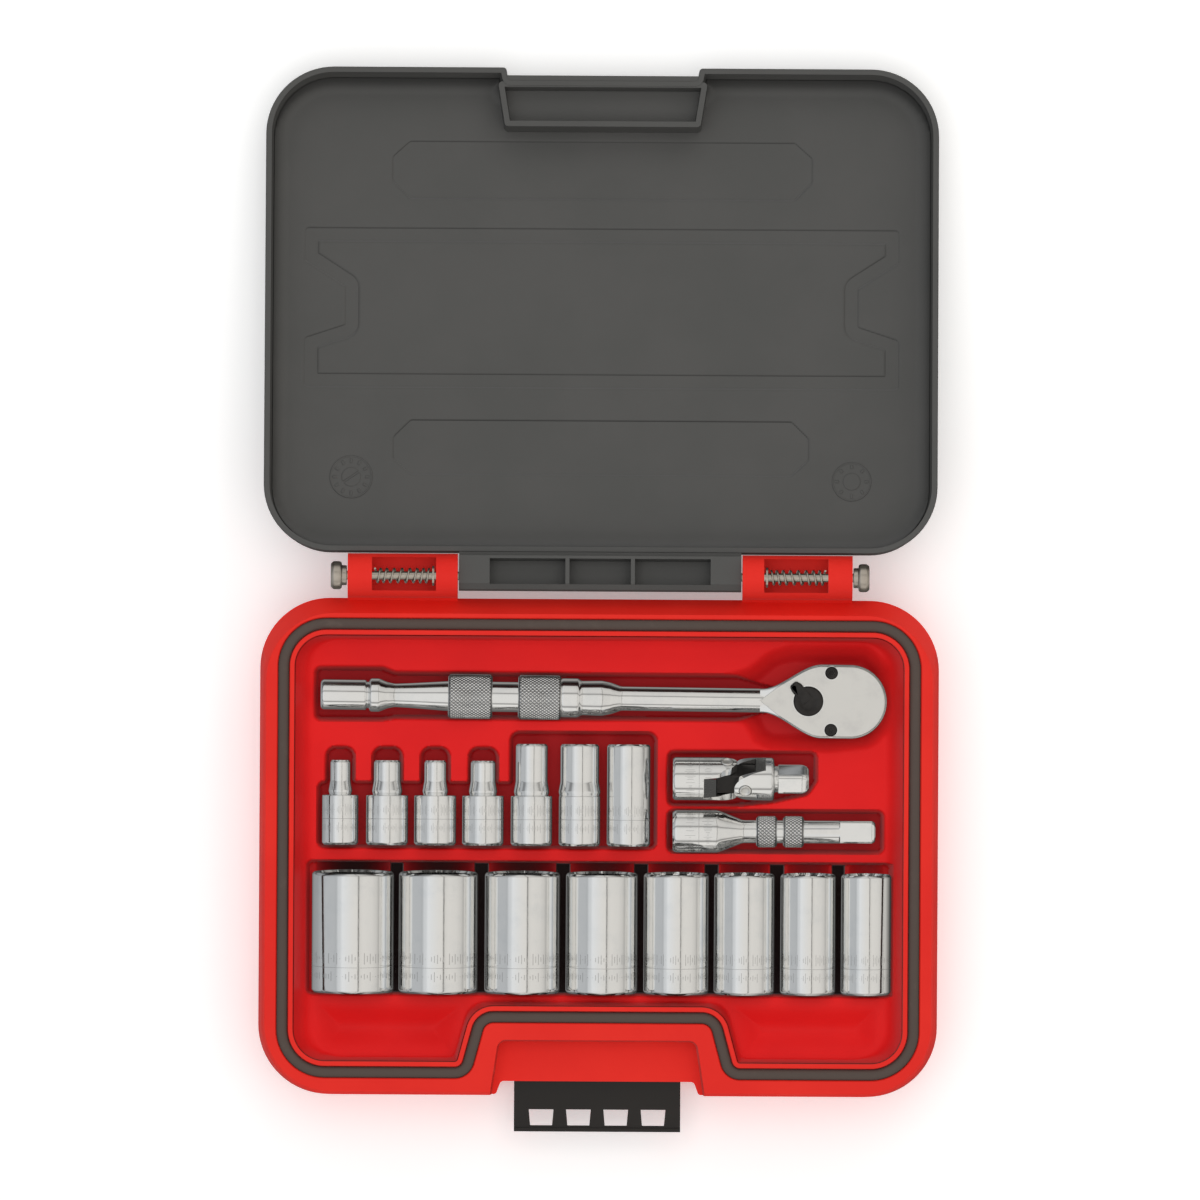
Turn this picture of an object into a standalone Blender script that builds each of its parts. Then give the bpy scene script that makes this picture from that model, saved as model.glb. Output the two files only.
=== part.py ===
"""Socket wrench set in a hinged case, built piece by piece in metres with +Z up.

The case lies open: the base is flat on the table, the lid is swung back until its far edge
touches the table, the latch hangs open and every tool lies in its pocket of the tray.
The origin is the middle of the base's underside, +Y points to the hinges.
"""

import math

import bmesh
import bpy
import numpy as np
from mathutils import Matrix

MM = 0.001

# ---- driving dimensions, in millimetres -------------------------------------------------
GAP = 0.3  # running gap between neighbouring pieces

BASE_HALF_W = 142.6
BASE_FRONT = -104.2
BASE_BACK = 104.3
CASE_R = 29.4
FLOOR_T = 3.0
RIM_Z = 46.0
RIM_HALF_W = 141.1
RIM_BACK = 99.1
RIDGE_Z = 47.3

SEAL_HALF_W = 132.65  # centre line of the gasket
SEAL_FRONT = -94.9
SEAL_STEP = -71.4
SEAL_BACK = 93.45
SEAL_HALF_T = 2.45

TRAY_Z = 34.0
TRAY_WALL = 1.8
SPARE_FLOOR = 29.2
LEDGE_Z = 25.7

NOTCH_HALF_W = 40.4
NOTCH_DEPTH = 5.5
SHELF_Z = 33.0

HINGE_Y = 113.8
HINGE_Z = 46.0
BARREL_R = 9.3
HINGE_IN = 59.8
HINGE_OUT = 106.0
SPRING_IN = 68.9
SPRING_OUT = 95.8
PIN_R = 1.75

LID_HALF_W = 141.6
LID_NEAR = 10.2
LID_FAR = 216.0
LID_DEPTH = 20.0
LID_T = 2.8
LID_TILT = math.degrees(math.asin((HINGE_Z - 0.9923 * LID_DEPTH - 0.05) / (LID_FAR - 5.0)))

LATCH_Y = -95.0
LATCH_Z = 25.0
LATCH_HALF_W = 35.0
LATCH_LENGTH = 24.9

TOOL_Z = 34.0
DRIVE = 4.7  # half the side of the drive square

# Short sockets: centre x, body radius, neck radius, length.
SHORT_STEP = 21.0
SHORT = [
    (-108.7, 7.6, 4.2, 35.6),
    (-89.0, 8.8, 5.6, 35.6),
    (-68.8, 8.8, 4.6, 35.6),
    (-48.7, 8.7, 5.2, 35.6),
    (-28.3, 8.7, 6.7, 42.8),
    (-8.1, 8.7, 8.1, 42.8),
    (12.5, 9.1, 9.1, 42.8),
]
SHORT_Y = 0.5
SHORT_FLOOR = 25.0

# Deep sockets: centre x and body radius, largest first.
DEEP = [
    (-103.1, 17.2),
    (-67.2, 16.6),
    (-31.9, 15.8),
    (1.5, 15.1),
    (32.8, 13.7),
    (61.4, 12.7),
    (88.2, 11.6),
    (112.6, 10.5),
]
DEEP_Y = -61.2
DEEP_LENGTH = 50.4
DEEP_TILT = 3.0
DEEP_Z = 32.6

RATCHET_X = 104.5
RATCHET_Y = 61.8
RATCHET_TURN = -0.49
HEAD_R = 15.5

UJOINT_X = 61.5
UJOINT_Y = 29.1
UJOINT_ROLL = 34.5
UJOINT_R = 9.0
UJOINT_PIN_X = -7.7  # the socket end's pin; the tang end's pin is at 0
# Along the joint and half width of what is cut beside each arm.
SOCKET_ARM = [
    (-17.6, 7.2),
    (-11.0, 6.2),
    (-8.6, 4.6),
    (-6.4, 4.0),
    (-4.7, 2.6),
    (-3.7, 1.2),
    (-2.0, 1.2),
    (-2.0, 12.0),
    (-17.6, 12.0),
]
TANG_ARM = [
    (-6.5, 1.2),
    (-4.7, 1.2),
    (-4.0, 2.9),
    (-2.6, 4.4),
    (-0.8, 5.4),
    (3.7, 6.9),
    (8.6, 7.7),
    (8.6, 12.0),
    (-6.5, 12.0),
]

EXTENSION_Y = 7.0


# ---- scene and materials ----------------------------------------------------------------
for old in list(bpy.data.objects):
    bpy.data.objects.remove(old)

PARTS = bpy.data.collections.new("socket_wrench_set")
CUTTERS = bpy.data.collections.new("cutters")
bpy.context.scene.collection.children.link(PARTS)
bpy.context.scene.collection.children.link(CUTTERS)


def material(name, colour, roughness, metallic=0.0):
    """A Principled material with one colour."""
    made = bpy.data.materials.new(name)
    made.use_nodes = True
    shader = made.node_tree.nodes["Principled BSDF"]
    shader.inputs["Base Color"].default_value = (*colour, 1.0)
    shader.inputs["Roughness"].default_value = roughness
    shader.inputs["Metallic"].default_value = metallic
    return made


RED = material("red_plastic", (0.72, 0.025, 0.022), 0.45)
RED_TRAY = material("red_tray_plastic", (0.68, 0.018, 0.018), 0.5)
GREY = material("grey_plastic", (0.085, 0.085, 0.085), 0.55)
BLACK = material("black_plastic", (0.025, 0.02, 0.018), 0.4)
SEAL = material("seal_rubber", (0.08, 0.06, 0.052), 0.8)
CHROME = material("polished_chrome", (0.8, 0.8, 0.8), 0.12, 1.0)
STEEL = material("plain_steel", (0.55, 0.52, 0.47), 0.35, 1.0)
OXIDE = material("black_oxide_steel", (0.03, 0.028, 0.026), 0.4, 0.7)


# ---- solids ------------------------------------------------------------------------------
def mesh_object(name, points, faces, look, parent=None):
    """A closed mesh as an object, its points in millimetres and its faces turned outwards."""
    mesh = bpy.data.meshes.new(name)
    mesh.from_pydata([tuple(float(c) * MM for c in p) for p in points], [], faces)
    work = bmesh.new()
    work.from_mesh(mesh)
    bmesh.ops.recalc_face_normals(work, faces=work.faces)
    work.to_mesh(mesh)
    work.free()
    made = bpy.data.objects.new(name, mesh)
    if look:
        mesh.materials.append(look)
        PARTS.objects.link(made)
    else:
        made.hide_render = True
        made.display_type = "WIRE"
        CUTTERS.objects.link(made)
    made.parent = parent
    return made


def loft(name, rings, look, closed=False, parent=None):
    """A skin over rings of equal count; its ends are capped unless it closes on itself."""
    count = len(rings[0])
    total = len(rings) * count
    points = [p for ring in rings for p in ring]
    faces = []
    for i in range(len(rings) if closed else len(rings) - 1):
        a = i * count
        b = (a + count) % total
        for k in range(count):
            n = (k + 1) % count
            faces.append((a + k, a + n, b + n, b + k))
    if not closed:
        faces.append(tuple(reversed(range(count))))
        faces.append(tuple(range(total - count, total)))
    return mesh_object(name, points, faces, look, parent)


def rounded(points, radii, grow=0.0, steps=5):
    """An anticlockwise outline with arcs at its corners, every side moved outwards by grow."""
    corners = np.asarray(points, float)
    along = np.roll(corners, -1, axis=0) - corners
    along /= np.linalg.norm(along, axis=1)[:, None]
    normal = np.stack([along[:, 1], -along[:, 0]], axis=1)
    outline = []
    for i in range(len(corners)):
        d0, d1 = along[i - 1], along[i]
        n0, n1 = normal[i - 1], normal[i]
        corner = corners[i] + grow * (n0 + n1) / (1.0 + n0 @ n1)
        turn = math.atan2(d0[0] * d1[1] - d0[1] * d1[0], d0 @ d1)
        side = math.copysign(1.0, turn)
        radius = max(radii[i] + side * grow, 0.25)
        start = corner - d0 * radius * math.tan(abs(turn) / 2)
        centre = start - side * n0 * radius
        for t in np.linspace(0.0, turn, steps):
            c, s = math.cos(t), math.sin(t)
            arm = side * n0 * radius
            outline.append(centre + (c * arm[0] - s * arm[1], s * arm[0] + c * arm[1]))
    return np.array(outline)


def at_z(outline, z):
    """An outline lifted to a height."""
    return [(x, y, z) for x, y in outline]


def mirrored(half):
    """A whole outline from its left half, listed from the front to the back."""
    return half + [(-x, y) for x, y in reversed(half)]


def circle(radius, at, count=24, axis="Z"):
    """A ring of points round an axis."""
    angles = np.arange(count) * math.tau / count
    return turned(radius * np.cos(angles), radius * np.sin(angles), at, axis)


def square(half, at, count=24, axis="Z"):
    """A ring of points on a square, at the same angles as a circle's."""
    angles = np.arange(count) * math.tau / count
    reach = half / np.maximum(abs(np.cos(angles)), abs(np.sin(angles)))
    return turned(reach * np.cos(angles), reach * np.sin(angles), at, axis)


def star(radius, at, count=24, axis="Z"):
    """A twelve-point ring: every second point is drawn in."""
    angles = np.arange(count) * math.tau / count
    reach = radius * np.where(np.arange(count) % 2, 0.9, 1.0)
    return turned(reach * np.cos(angles), reach * np.sin(angles), at, axis)


def turned(u, v, at, axis):
    """Points u, v in the plane across an axis, at a place along it."""
    if axis == "Z":
        return [(a, b, at) for a, b in zip(u, v)]
    return [(at, a, b) for a, b in zip(u, v)]


def moved(ring, x=0.0, y=0.0, z=0.0):
    """A ring shifted by x, y, z."""
    return [(px + x, py + y, pz + z) for px, py, pz in ring]


def block(name, low, high, look, parent=None):
    """A box between two corners."""
    (x0, y0, z0), (x1, y1, z1) = low, high
    foot = [(x0, y0), (x1, y0), (x1, y1), (x0, y1)]
    return loft(name, [at_z(foot, z0), at_z(foot, z1)], look, parent=parent)


def slab(name, outline, x0, x1, look, parent=None):
    """An outline in the YZ plane, pushed along X."""
    rings = [[(x, y, z) for y, z in outline] for x in (x0, x1)]
    return loft(name, rings, look, parent=parent)


def rod(name, radius, low, high, look, centre=(0, 0, 0), axis="Z", count=16, parent=None):
    """A cylinder along an axis."""
    rings = [moved(circle(radius, at, count, axis), *centre) for at in (low, high)]
    return loft(name, rings, look, parent=parent)


def combine(target, other, operation):
    """A Boolean of one object with another, which becomes a hidden helper."""
    step = target.modifiers.new(operation.lower() + "_" + other.name, "BOOLEAN")
    step.operation = operation
    step.object = other
    step.solver = "EXACT"


def empty(name, x, y, z, rotation=(0.0, 0.0, 0.0)):
    """An empty that carries a group of pieces; its place is in millimetres."""
    made = bpy.data.objects.new(name, None)
    made.location = (x * MM, y * MM, z * MM)
    made.rotation_euler = [math.radians(a) for a in rotation]
    PARTS.objects.link(made)
    return made


# ---- outlines of the case ----------------------------------------------------------------
CASE_RADII = [CASE_R, 1.6, 1.6, 1.6, 1.6, CASE_R, CASE_R, CASE_R]
SEAL_RADII = [18.0, 6.0, 7.0, 7.0, 6.0, 18.0, 18.0, 18.0]


def case_outline(half_w, back, grow=0.0):
    """The outside of the base, with the latch notch in its front."""
    front = [
        (-half_w, BASE_FRONT),
        (-NOTCH_HALF_W - 2.0, BASE_FRONT),
        (-NOTCH_HALF_W, BASE_FRONT + NOTCH_DEPTH),
    ]
    corners = mirrored(front)
    corners = corners + [(half_w, back), (-half_w, back)]
    return rounded(corners, CASE_RADII, grow)


def seal_corners(half_w, front, step, back, jog_x, top_x):
    """The eight corners of an outline that steps back behind the latch shelf."""
    left = [(-half_w, front), (-jog_x, front), (-top_x, step)]
    return mirrored(left) + [(half_w, back), (-half_w, back)]


def seal_outline(grow=0.0):
    """The gasket's centre line, moved outwards by grow."""
    corners = seal_corners(SEAL_HALF_W, SEAL_FRONT, SEAL_STEP, SEAL_BACK, 55.4, 49.0)
    return rounded(corners, SEAL_RADII, grow)


# ---- case base ---------------------------------------------------------------------------
def build_base():
    """The red tub: flared sides, gasket groove, ridge, inner ledge and floor."""
    rim = lambda grow: case_outline(RIM_HALF_W, RIM_BACK, grow)
    side = lambda grow: case_outline(BASE_HALF_W, BASE_BACK, grow)
    rings = [
        at_z(side(-4.0), 0.0),
        at_z(side(-1.6), 2.4),
        at_z(side(0.0), 38.5),
        at_z(rim(0.0), 44.6),
        at_z(rim(-1.0), RIM_Z),
        at_z(seal_outline(SEAL_HALF_T), RIM_Z),
        at_z(seal_outline(SEAL_HALF_T), 43.2),
        at_z(seal_outline(-SEAL_HALF_T), 43.2),
        at_z(seal_outline(-SEAL_HALF_T - 0.2), RIDGE_Z),
        at_z(seal_outline(-4.6), RIDGE_Z),
        at_z(seal_outline(-4.6), LEDGE_Z),
        at_z(seal_outline(-6.0), LEDGE_Z),
        at_z(seal_outline(-6.0), FLOOR_T),
    ]
    base = loft("base_shell", rings, RED)
    for side_name, sign in (("left", -1), ("right", 1)):
        combine(base, hinge_housing(side_name, sign), "UNION")
    for side_name, sign in (("left", -1), ("right", 1)):
        low, high = sorted((sign * SPRING_IN, sign * SPRING_OUT))
        pocket = block(
            "spring_pocket_" + side_name, (low, 107.5, 39.4), (high, 121.6, 60.0), None
        )
        combine(base, pocket, "DIFFERENCE")
        low, high = sorted((sign * (HINGE_IN - 2), sign * (HINGE_OUT + 2)))
        centre = (0, HINGE_Y, HINGE_Z)
        bore = rod("pin_bore_" + side_name, PIN_R + GAP, low, high, None, centre, "X")
        combine(base, bore, "DIFFERENCE")
    combine(base, shelf_cutter(), "DIFFERENCE")
    inner = block("latch_window", (-36.2, -106.0, 16.4), (36.2, -91.4, 30.6), None)
    combine(base, inner, "DIFFERENCE")
    centre = (0, LATCH_Y, LATCH_Z)
    bore = rod("latch_pin_bore", 1.8, -40.0, 40.0, None, centre, "X", 12)
    combine(base, bore, "DIFFERENCE")
    return base


def hinge_housing(side_name, sign):
    """One lug block behind the base: a round top over the pin, running down to the wall."""
    arc = [
        (HINGE_Y + BARREL_R * math.cos(a), HINGE_Z + BARREL_R * math.sin(a))
        for a in np.radians(np.linspace(0, 180, 13))
    ]
    outline = [(101.5, 29.0), (113.0, 29.0), (121.6, 36.0)] + arc
    outline = outline + [(HINGE_Y - BARREL_R, 41.0), (101.5, 37.2)]
    low, high = sorted((sign * HINGE_IN, sign * HINGE_OUT))
    return slab("hinge_housing_" + side_name, outline, low, high, None)


def shelf_cutter():
    """The low shelf behind the latch, wider at the front than at the back."""
    foot = [(-45.6, -106.0), (45.6, -106.0), (41.9, -80.8), (-41.9, -80.8)]
    rings = [
        at_z(rounded(foot, [1, 1, 4, 4], -0.9), SHELF_Z),
        at_z(rounded(foot, [1, 1, 4, 4], 0.1), 50.0),
    ]
    return loft("shelf_cutter", rings, None)


# ---- tray --------------------------------------------------------------------------------
def pocket_outlines():
    """Each pocket: name, corner points, corner radii, floor height and wall slope."""
    channel = [
        (-120.0, 52.6),
        (-91.0, 52.6),
        (-86.0, 53.4),
        (62.0, 53.2),
        (62.0, 73.2),
        (-86.0, 73.6),
        (-91.0, 75.6),
        (-120.0, 75.6),
    ]
    scoop = [
        (54.0, 53.6),
        (64.0, 53.6),
        (84.0, 43.6),
        (116.0, 42.6),
        (122.6, 52.0),
        (122.6, 76.0),
        (114.0, 85.6),
        (84.0, 85.6),
        (66.0, 73.4),
        (54.0, 73.0),
    ]
    short = [(-118.4, -0.8), (24.4, -0.8), (24.4, 48.6), (-37.6, 48.6), (-37.6, 27.3)]
    short_r = [3, 3, 4, 4, 0.8]
    for x, width in ((-48.7, 12.8), (-68.9, 12.6), (-89.0, 13.0), (-108.8, 12.6)):
        right, left = x + width / 2, x - width / 2
        short += [(right, 27.3), (right, 42.0), (left, 42.0), (left, 27.3)]
        short_r += [0.8, 4.5, 4.5, 0.8]
    short += [(-118.4, 27.3)]
    short_r += [3]
    joint = [(28.6, 17.6), (91.8, 17.6), (91.8, 41.0), (28.6, 41.0)]
    bar = [(28.6, -2.2), (120.0, -2.2), (120.0, 16.2), (28.6, 16.2)]
    deep = [(-122.6, -62.4), (123.2, -62.4), (123.2, -6.0), (-122.6, -6.0)]
    return [
        ("ratchet_channel", channel, [3, 4, 6, 3, 3, 6, 4, 3], 24.2, 0.6),
        ("head_scoop", scoop, [3, 6, 8, 8, 6, 9, 9, 10, 6, 3], 26.2, 4.0),
        ("short_pocket", short, short_r, SHORT_FLOOR, 0.6),
        ("ujoint_pocket", joint, [3] * 4, 24.6, 0.5),
        ("extension_pocket", bar, [3] * 4, 24.6, 0.5),
        ("deep_pocket", deep, [2.5] * 4, 27.0, 0.5),
    ]


def build_tray():
    """The moulded insert: a lipped plate with thin-walled tubs hanging under it."""
    corners = seal_corners(119.5, -88.0, -64.5, 86.6, 60.7, 54.3)
    top = rounded(corners, [12, 3, 9, 9, 3, 12, 10, 10])
    inner = lambda grow: seal_outline(grow)
    rings = [
        at_z(inner(-7.2), TRAY_Z - 2.4),
        at_z(inner(-7.2), LEDGE_Z + GAP),
        at_z(inner(-4.9), LEDGE_Z + GAP),
        at_z(inner(-4.9), RIDGE_Z - 0.7),
        at_z(inner(-5.8), RIDGE_Z - 0.5),
        at_z(top, TRAY_Z),
    ]
    tray = loft("tray_insert", rings, RED_TRAY)
    for name, corners, radii, floor, slope in pocket_outlines():
        tub = [
            at_z(rounded(corners, radii, TRAY_WALL - slope), floor - TRAY_WALL),
            at_z(rounded(corners, radii, TRAY_WALL - 0.2), TRAY_Z - 1.1),
        ]
        combine(tray, loft(name + "_tub", tub, None), "UNION")
    x, y = RATCHET_X, RATCHET_Y
    combine(tray, rod("head_tub", 20.4, 10.2, 32.2, None, (x, y, 0), count=20), "UNION")
    for side_name, sign in (("left", -1), ("right", 1)):
        combine(tray, spare_tub(side_name, sign), "UNION")
    cradle = [(-121.6, -63.4), (122.6, -63.4), (122.6, -5.0), (-121.6, -5.0)]
    foot = [
        at_z(rounded(cradle, [4] * 4, -0.8), 13.2),
        at_z(rounded(cradle, [4] * 4, 0.0), 26.1),
    ]
    combine(tray, loft("cradle_tub", foot, None), "UNION")
    for name, corners, radii, floor, slope in pocket_outlines():
        hollow = [
            at_z(rounded(corners, radii, -slope), floor),
            at_z(rounded(corners, radii, 0.0), TRAY_Z),
            at_z(rounded(corners, radii, 0.25), 50.0),
        ]
        combine(tray, loft(name + "_cutter", hollow, None), "DIFFERENCE")
    head = rod("head_cutter", 18.6, 12.0, 40.0, None, (x, y, 0), count=20)
    combine(tray, head, "DIFFERENCE")
    for number, (x, radius) in enumerate(DEEP):
        combine(tray, cradle_cutter(number + 1, x, radius + 0.5), "DIFFERENCE")
    for number in range(len(DEEP) - 1):
        (x0, r0), (x1, r1) = DEEP[number], DEEP[number + 1]
        low, high = (x0 + r0 - 1.6, -61.6, 17.0), (x1 - r1 + 1.6, -6.8, 30.0)
        gap = block("gap_cutter_%d" % (number + 1), low, high, None)
        combine(tray, gap, "DIFFERENCE")
    for side_name, sign in (("left", -1), ("right", 1)):
        combine(tray, spare_cutter(side_name, sign), "DIFFERENCE")
    return tray


def cradle_cutter(number, x, radius):
    """A half-round seat under one deep socket, following its tilt."""
    cutter = rod("cradle_cutter_%d" % number, radius, -0.9, DEEP_LENGTH + 3, None)
    cutter.rotation_euler = (math.radians(DEEP_TILT - 90.0), 0.0, 0.0)
    cutter.location = (x * MM, DEEP_Y * MM, DEEP_Z * MM)
    return cutter


def spare_foot(sign):
    """Corners and radii of the compartment in a front corner."""
    foot = [(-118.4, -87.0), (-61.4, -87.0), (-55.6, -65.6), (-118.4, -65.6)]
    if sign < 0:
        return foot, [9, 3, 3, 3]
    return [(-x, y) for x, y in reversed(foot)], [3, 3, 3, 9]


def spare_tub(side_name, sign):
    """The walls and floor under a front corner's compartment."""
    foot, radii = spare_foot(sign)
    rings = [
        at_z(rounded(foot, radii, -0.8), SPARE_FLOOR - TRAY_WALL),
        at_z(rounded(foot, radii, 1.5), TRAY_Z - 1.1),
    ]
    return loft("spare_tub_" + side_name, rings, None)


def spare_cutter(side_name, sign):
    """A shallow dished compartment in a front corner."""
    foot, radii = spare_foot(sign)
    rings = [
        at_z(rounded(foot, radii, -2.6), SPARE_FLOOR),
        at_z(rounded(foot, radii, 0.0), TRAY_Z),
        at_z(rounded(foot, radii, 0.3), 44.0),
    ]
    return loft("spare_cutter_" + side_name, rings, None)


def build_gasket():
    """The dark seal in its groove."""
    half = SEAL_HALF_T - GAP
    rings = [
        at_z(seal_outline(half), 43.5),
        at_z(seal_outline(half), 45.8),
        at_z(seal_outline(half - 0.6), 46.2),
        at_z(seal_outline(0.6 - half), 46.2),
        at_z(seal_outline(-half), 45.8),
        at_z(seal_outline(-half), 43.5),
    ]
    return loft("gasket", rings, SEAL, closed=True)


# ---- lid ---------------------------------------------------------------------------------
def lid_outline(grow=0.0):
    """The lid seen square on, its latch notch at the far edge, listed anticlockwise."""
    notch = [
        (LID_HALF_W, LID_FAR),
        (NOTCH_HALF_W + 0.4, LID_FAR),
        (NOTCH_HALF_W - 0.6, LID_FAR - 5.3),
    ]
    far = notch + [(-x, y) for x, y in reversed(notch)]
    corners = far + [(-LID_HALF_W, LID_NEAR), (LID_HALF_W, LID_NEAR)]
    radii = [28.6, 1.5, 1.5, 1.5, 1.5, 28.6, 28.6, 28.6]
    return rounded(corners, radii, grow)


def build_lid():
    """The grey lid, a shallow pan with embossed panels and a three-pocket hinge block."""
    axis = empty("lid_axis", 0, HINGE_Y, HINGE_Z, (-LID_TILT, 0, 0))
    rim, floor = -GAP, LID_T - LID_DEPTH
    rings = [
        at_z(lid_outline(-5.0), -LID_DEPTH),
        at_z(lid_outline(-1.6), 2.4 - LID_DEPTH),
        at_z(lid_outline(0.0), rim - 1.0),
        at_z(lid_outline(-0.4), rim),
        at_z(lid_outline(-2.4), rim),
        at_z(lid_outline(-3.4), floor + 2.5),
        at_z(lid_outline(-6.0), floor),
    ]
    lid = loft("lid_shell", rings, GREY, parent=axis)
    frame = [(-41.4, 190.6), (41.4, 190.6), (44.6, 210.4), (-44.6, 210.4)]
    rings = [
        at_z(rounded(frame, [2] * 4, -0.2), floor - 1.0),
        at_z(rounded(frame, [2] * 4, -0.4), rim - 0.3),
    ]
    combine(lid, loft("latch_frame", rings, None, parent=axis), "UNION")
    rings = [
        at_z(rounded(frame, [2] * 4, -3.2), -9.0),
        at_z(rounded(frame, [2] * 4, -2.4), 4.0),
    ]
    combine(lid, loft("latch_frame_cutter", rings, None, parent=axis), "DIFFERENCE")
    bar = block("latch_bar", (-34.0, 209.8, -2.0), (34.0, 212.6, -0.6), None, axis)
    combine(lid, bar, "UNION")
    combine(lid, hinge_block(axis), "UNION")
    for name, low, high in (("a", -46.4, -14.6), ("b", -12.9, 12.9), ("c", 14.6, 46.4)):
        pocket = block(
            "hinge_pocket_" + name, (low, -3.9, -4.2), (high, 7.0, 12.0), None, axis
        )
        combine(lid, pocket, "DIFFERENCE")
    for name, low, high in (("left", -62.0, -47.6), ("right", 47.6, 62.0)):
        bore = rod(
            "lid_bore_" + name, PIN_R + GAP, low, high, None, axis="X", parent=axis
        )
        combine(lid, bore, "DIFFERENCE")
    for name, corners, radius in lid_panels():
        radii = [radius] * len(corners)
        rings = [
            at_z(rounded(corners, radii, -0.6), floor - 0.9),
            at_z(rounded(corners, radii, 0.0), floor + 0.4),
        ]
        combine(lid, loft(name, rings, None, parent=axis), "DIFFERENCE")
    return lid


def hinge_block(axis):
    """The bar of knuckles on the lid's near edge."""
    outline = [
        (-5.9, -3.5),
        (-3.6, -6.0),
        (12.6, -6.0),
        (12.6, -0.7),
        (9.0, -0.7),
        (8.2, 5.2),
        (-3.6, 5.2),
        (-5.9, 2.8),
    ]
    half = HINGE_IN - 0.5
    return slab("hinge_block", outline, -half, half, None, axis)


def lid_panels():
    """The three shallow panels inside the lid, the middle one with a bay at each end."""
    first = [
        (-88.0, 170.0),
        (-81.0, 162.7),
        (81.0, 162.7),
        (88.0, 170.0),
        (88.0, 180.0),
        (81.0, 186.3),
        (-81.0, 186.3),
        (-88.0, 180.0),
    ]
    right = [
        (124.8, 82.5),
        (124.8, 102.7),
        (107.6, 108.4),
        (107.6, 124.9),
        (124.8, 136.1),
        (124.8, 149.4),
    ]
    middle = right + [(-x, y) for x, y in reversed(right)]
    last = [
        (-87.0, 52.0),
        (-80.0, 45.6),
        (80.0, 45.6),
        (87.0, 52.0),
        (87.0, 61.0),
        (80.0, 67.9),
        (-80.0, 67.9),
        (-87.0, 61.0),
    ]
    return [("panel_far", first, 1.0), ("panel_middle", middle, 1.0), ("panel_near", last, 1.0)]


# ---- latch -------------------------------------------------------------------------------
def build_latch():
    """The black latch, drawn shut with its plate upright, then swung out level."""
    axis = empty("latch_axis", 0, LATCH_Y, LATCH_Z, (90, 0, 0))
    half = LATCH_HALF_W
    outline = [
        (-2.4, -2.4),
        (-6.8, -2.4),
        (-6.8, LATCH_LENGTH),
        (-2.3, LATCH_LENGTH),
        (-2.3, 23.3),
        (-4.3, 23.3),
        (-4.3, 1.6),
        (0.6, 2.6),
        (2.6, 0.6),
        (2.6, -1.4),
        (1.4, -2.4),
    ]
    latch = slab("latch", list(reversed(outline)), -half, half, BLACK, axis)
    for number in range(4):
        x = (number - 1.5) * 15.7
        hole = [(x - 4.6, 22.2), (x - 5.2, 15.5), (x + 5.2, 15.5), (x + 4.6, 22.2)]
        rings = [[(px, y, z) for px, z in hole] for y in (-9.0, -1.0)]
        window = loft("latch_window_%d" % (number + 1), rings, None, parent=axis)
        combine(latch, window, "DIFFERENCE")
    bore = rod("latch_bore", 1.8, -half - 1, half + 1, None, axis="X", count=12, parent=axis)
    combine(latch, bore, "DIFFERENCE")
    rod("latch_pin", 1.5, -39.5, 39.5, STEEL, axis="X", count=12, parent=axis)
    return latch


# ---- hinge pins --------------------------------------------------------------------------
def build_hinge_pin(side_name, sign):
    """A spring-loaded pin with a mushroom head, its retaining clip and its spring."""
    axis = empty("pin_axis_" + side_name, 0, HINGE_Y, HINGE_Z)
    profile = [
        (1.2, 49.0),
        (PIN_R, 49.7),
        (PIN_R, 106.3),
        (4.2, 106.3),
        (4.2, 108.5),
        (5.3, 108.5),
        (5.9, 109.2),
        (5.9, 112.2),
        (5.0, 113.1),
    ]
    rings = [circle(r, sign * x, 16, "X") for r, x in profile]
    loft("hinge_pin_" + side_name, rings, STEEL, parent=axis)
    corners = [(2.0, 69.7), (4.2, 69.7), (4.2, 70.5), (2.0, 70.5)]
    rings = [circle(r, sign * x, 16, "X") for r, x in corners]
    loft("pin_clip_" + side_name, rings, STEEL, closed=True, parent=axis)
    spring("hinge_spring_" + side_name, sign, 71.4, 95.0, axis)


def spring(name, sign, low, high, parent):
    """A compression spring: a round wire led along a helix."""
    turns, per_turn, sides = 8, 10, 5
    wire, coil = 0.42, 2.9
    rings = []
    for i in range(turns * per_turn + 1):
        angle = math.tau * i / per_turn
        x = low + wire + (high - low - 2 * wire) * i / (turns * per_turn)
        ring = []
        for k in range(sides):
            b = math.tau * k / sides
            r = coil + wire * math.cos(b)
            ring.append((sign * (x + wire * math.sin(b)), r * math.cos(angle), r * math.sin(angle)))
        rings.append(ring)
    return loft(name, rings, STEEL, parent=parent)


# ---- sockets -----------------------------------------------------------------------------
def socket(name, radius, neck, length, step):
    """A socket standing on its drive end: square hole below, twelve-point opening above."""
    depth = min(length * 0.55, length - 13.0)
    grip = neck * 0.78
    bore = min(grip * 0.88, 4.4)
    rings = [circle(radius - 0.6, 0.0), circle(radius, 0.6)]
    if neck < radius - 0.3:
        rings += [circle(radius, step), circle(neck, step + 1.6)]
    rings += [
        circle(neck, length - 0.6),
        circle(neck - 0.6, length),
        star(grip, length),
        star(grip, length - depth),
        circle(bore, length - depth),
        circle(bore, 9.8),
        square(DRIVE + 0.2, 9.8),
        square(DRIVE + 0.2, 0.0),
    ]
    return loft(name, rings, CHROME, closed=True)


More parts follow.
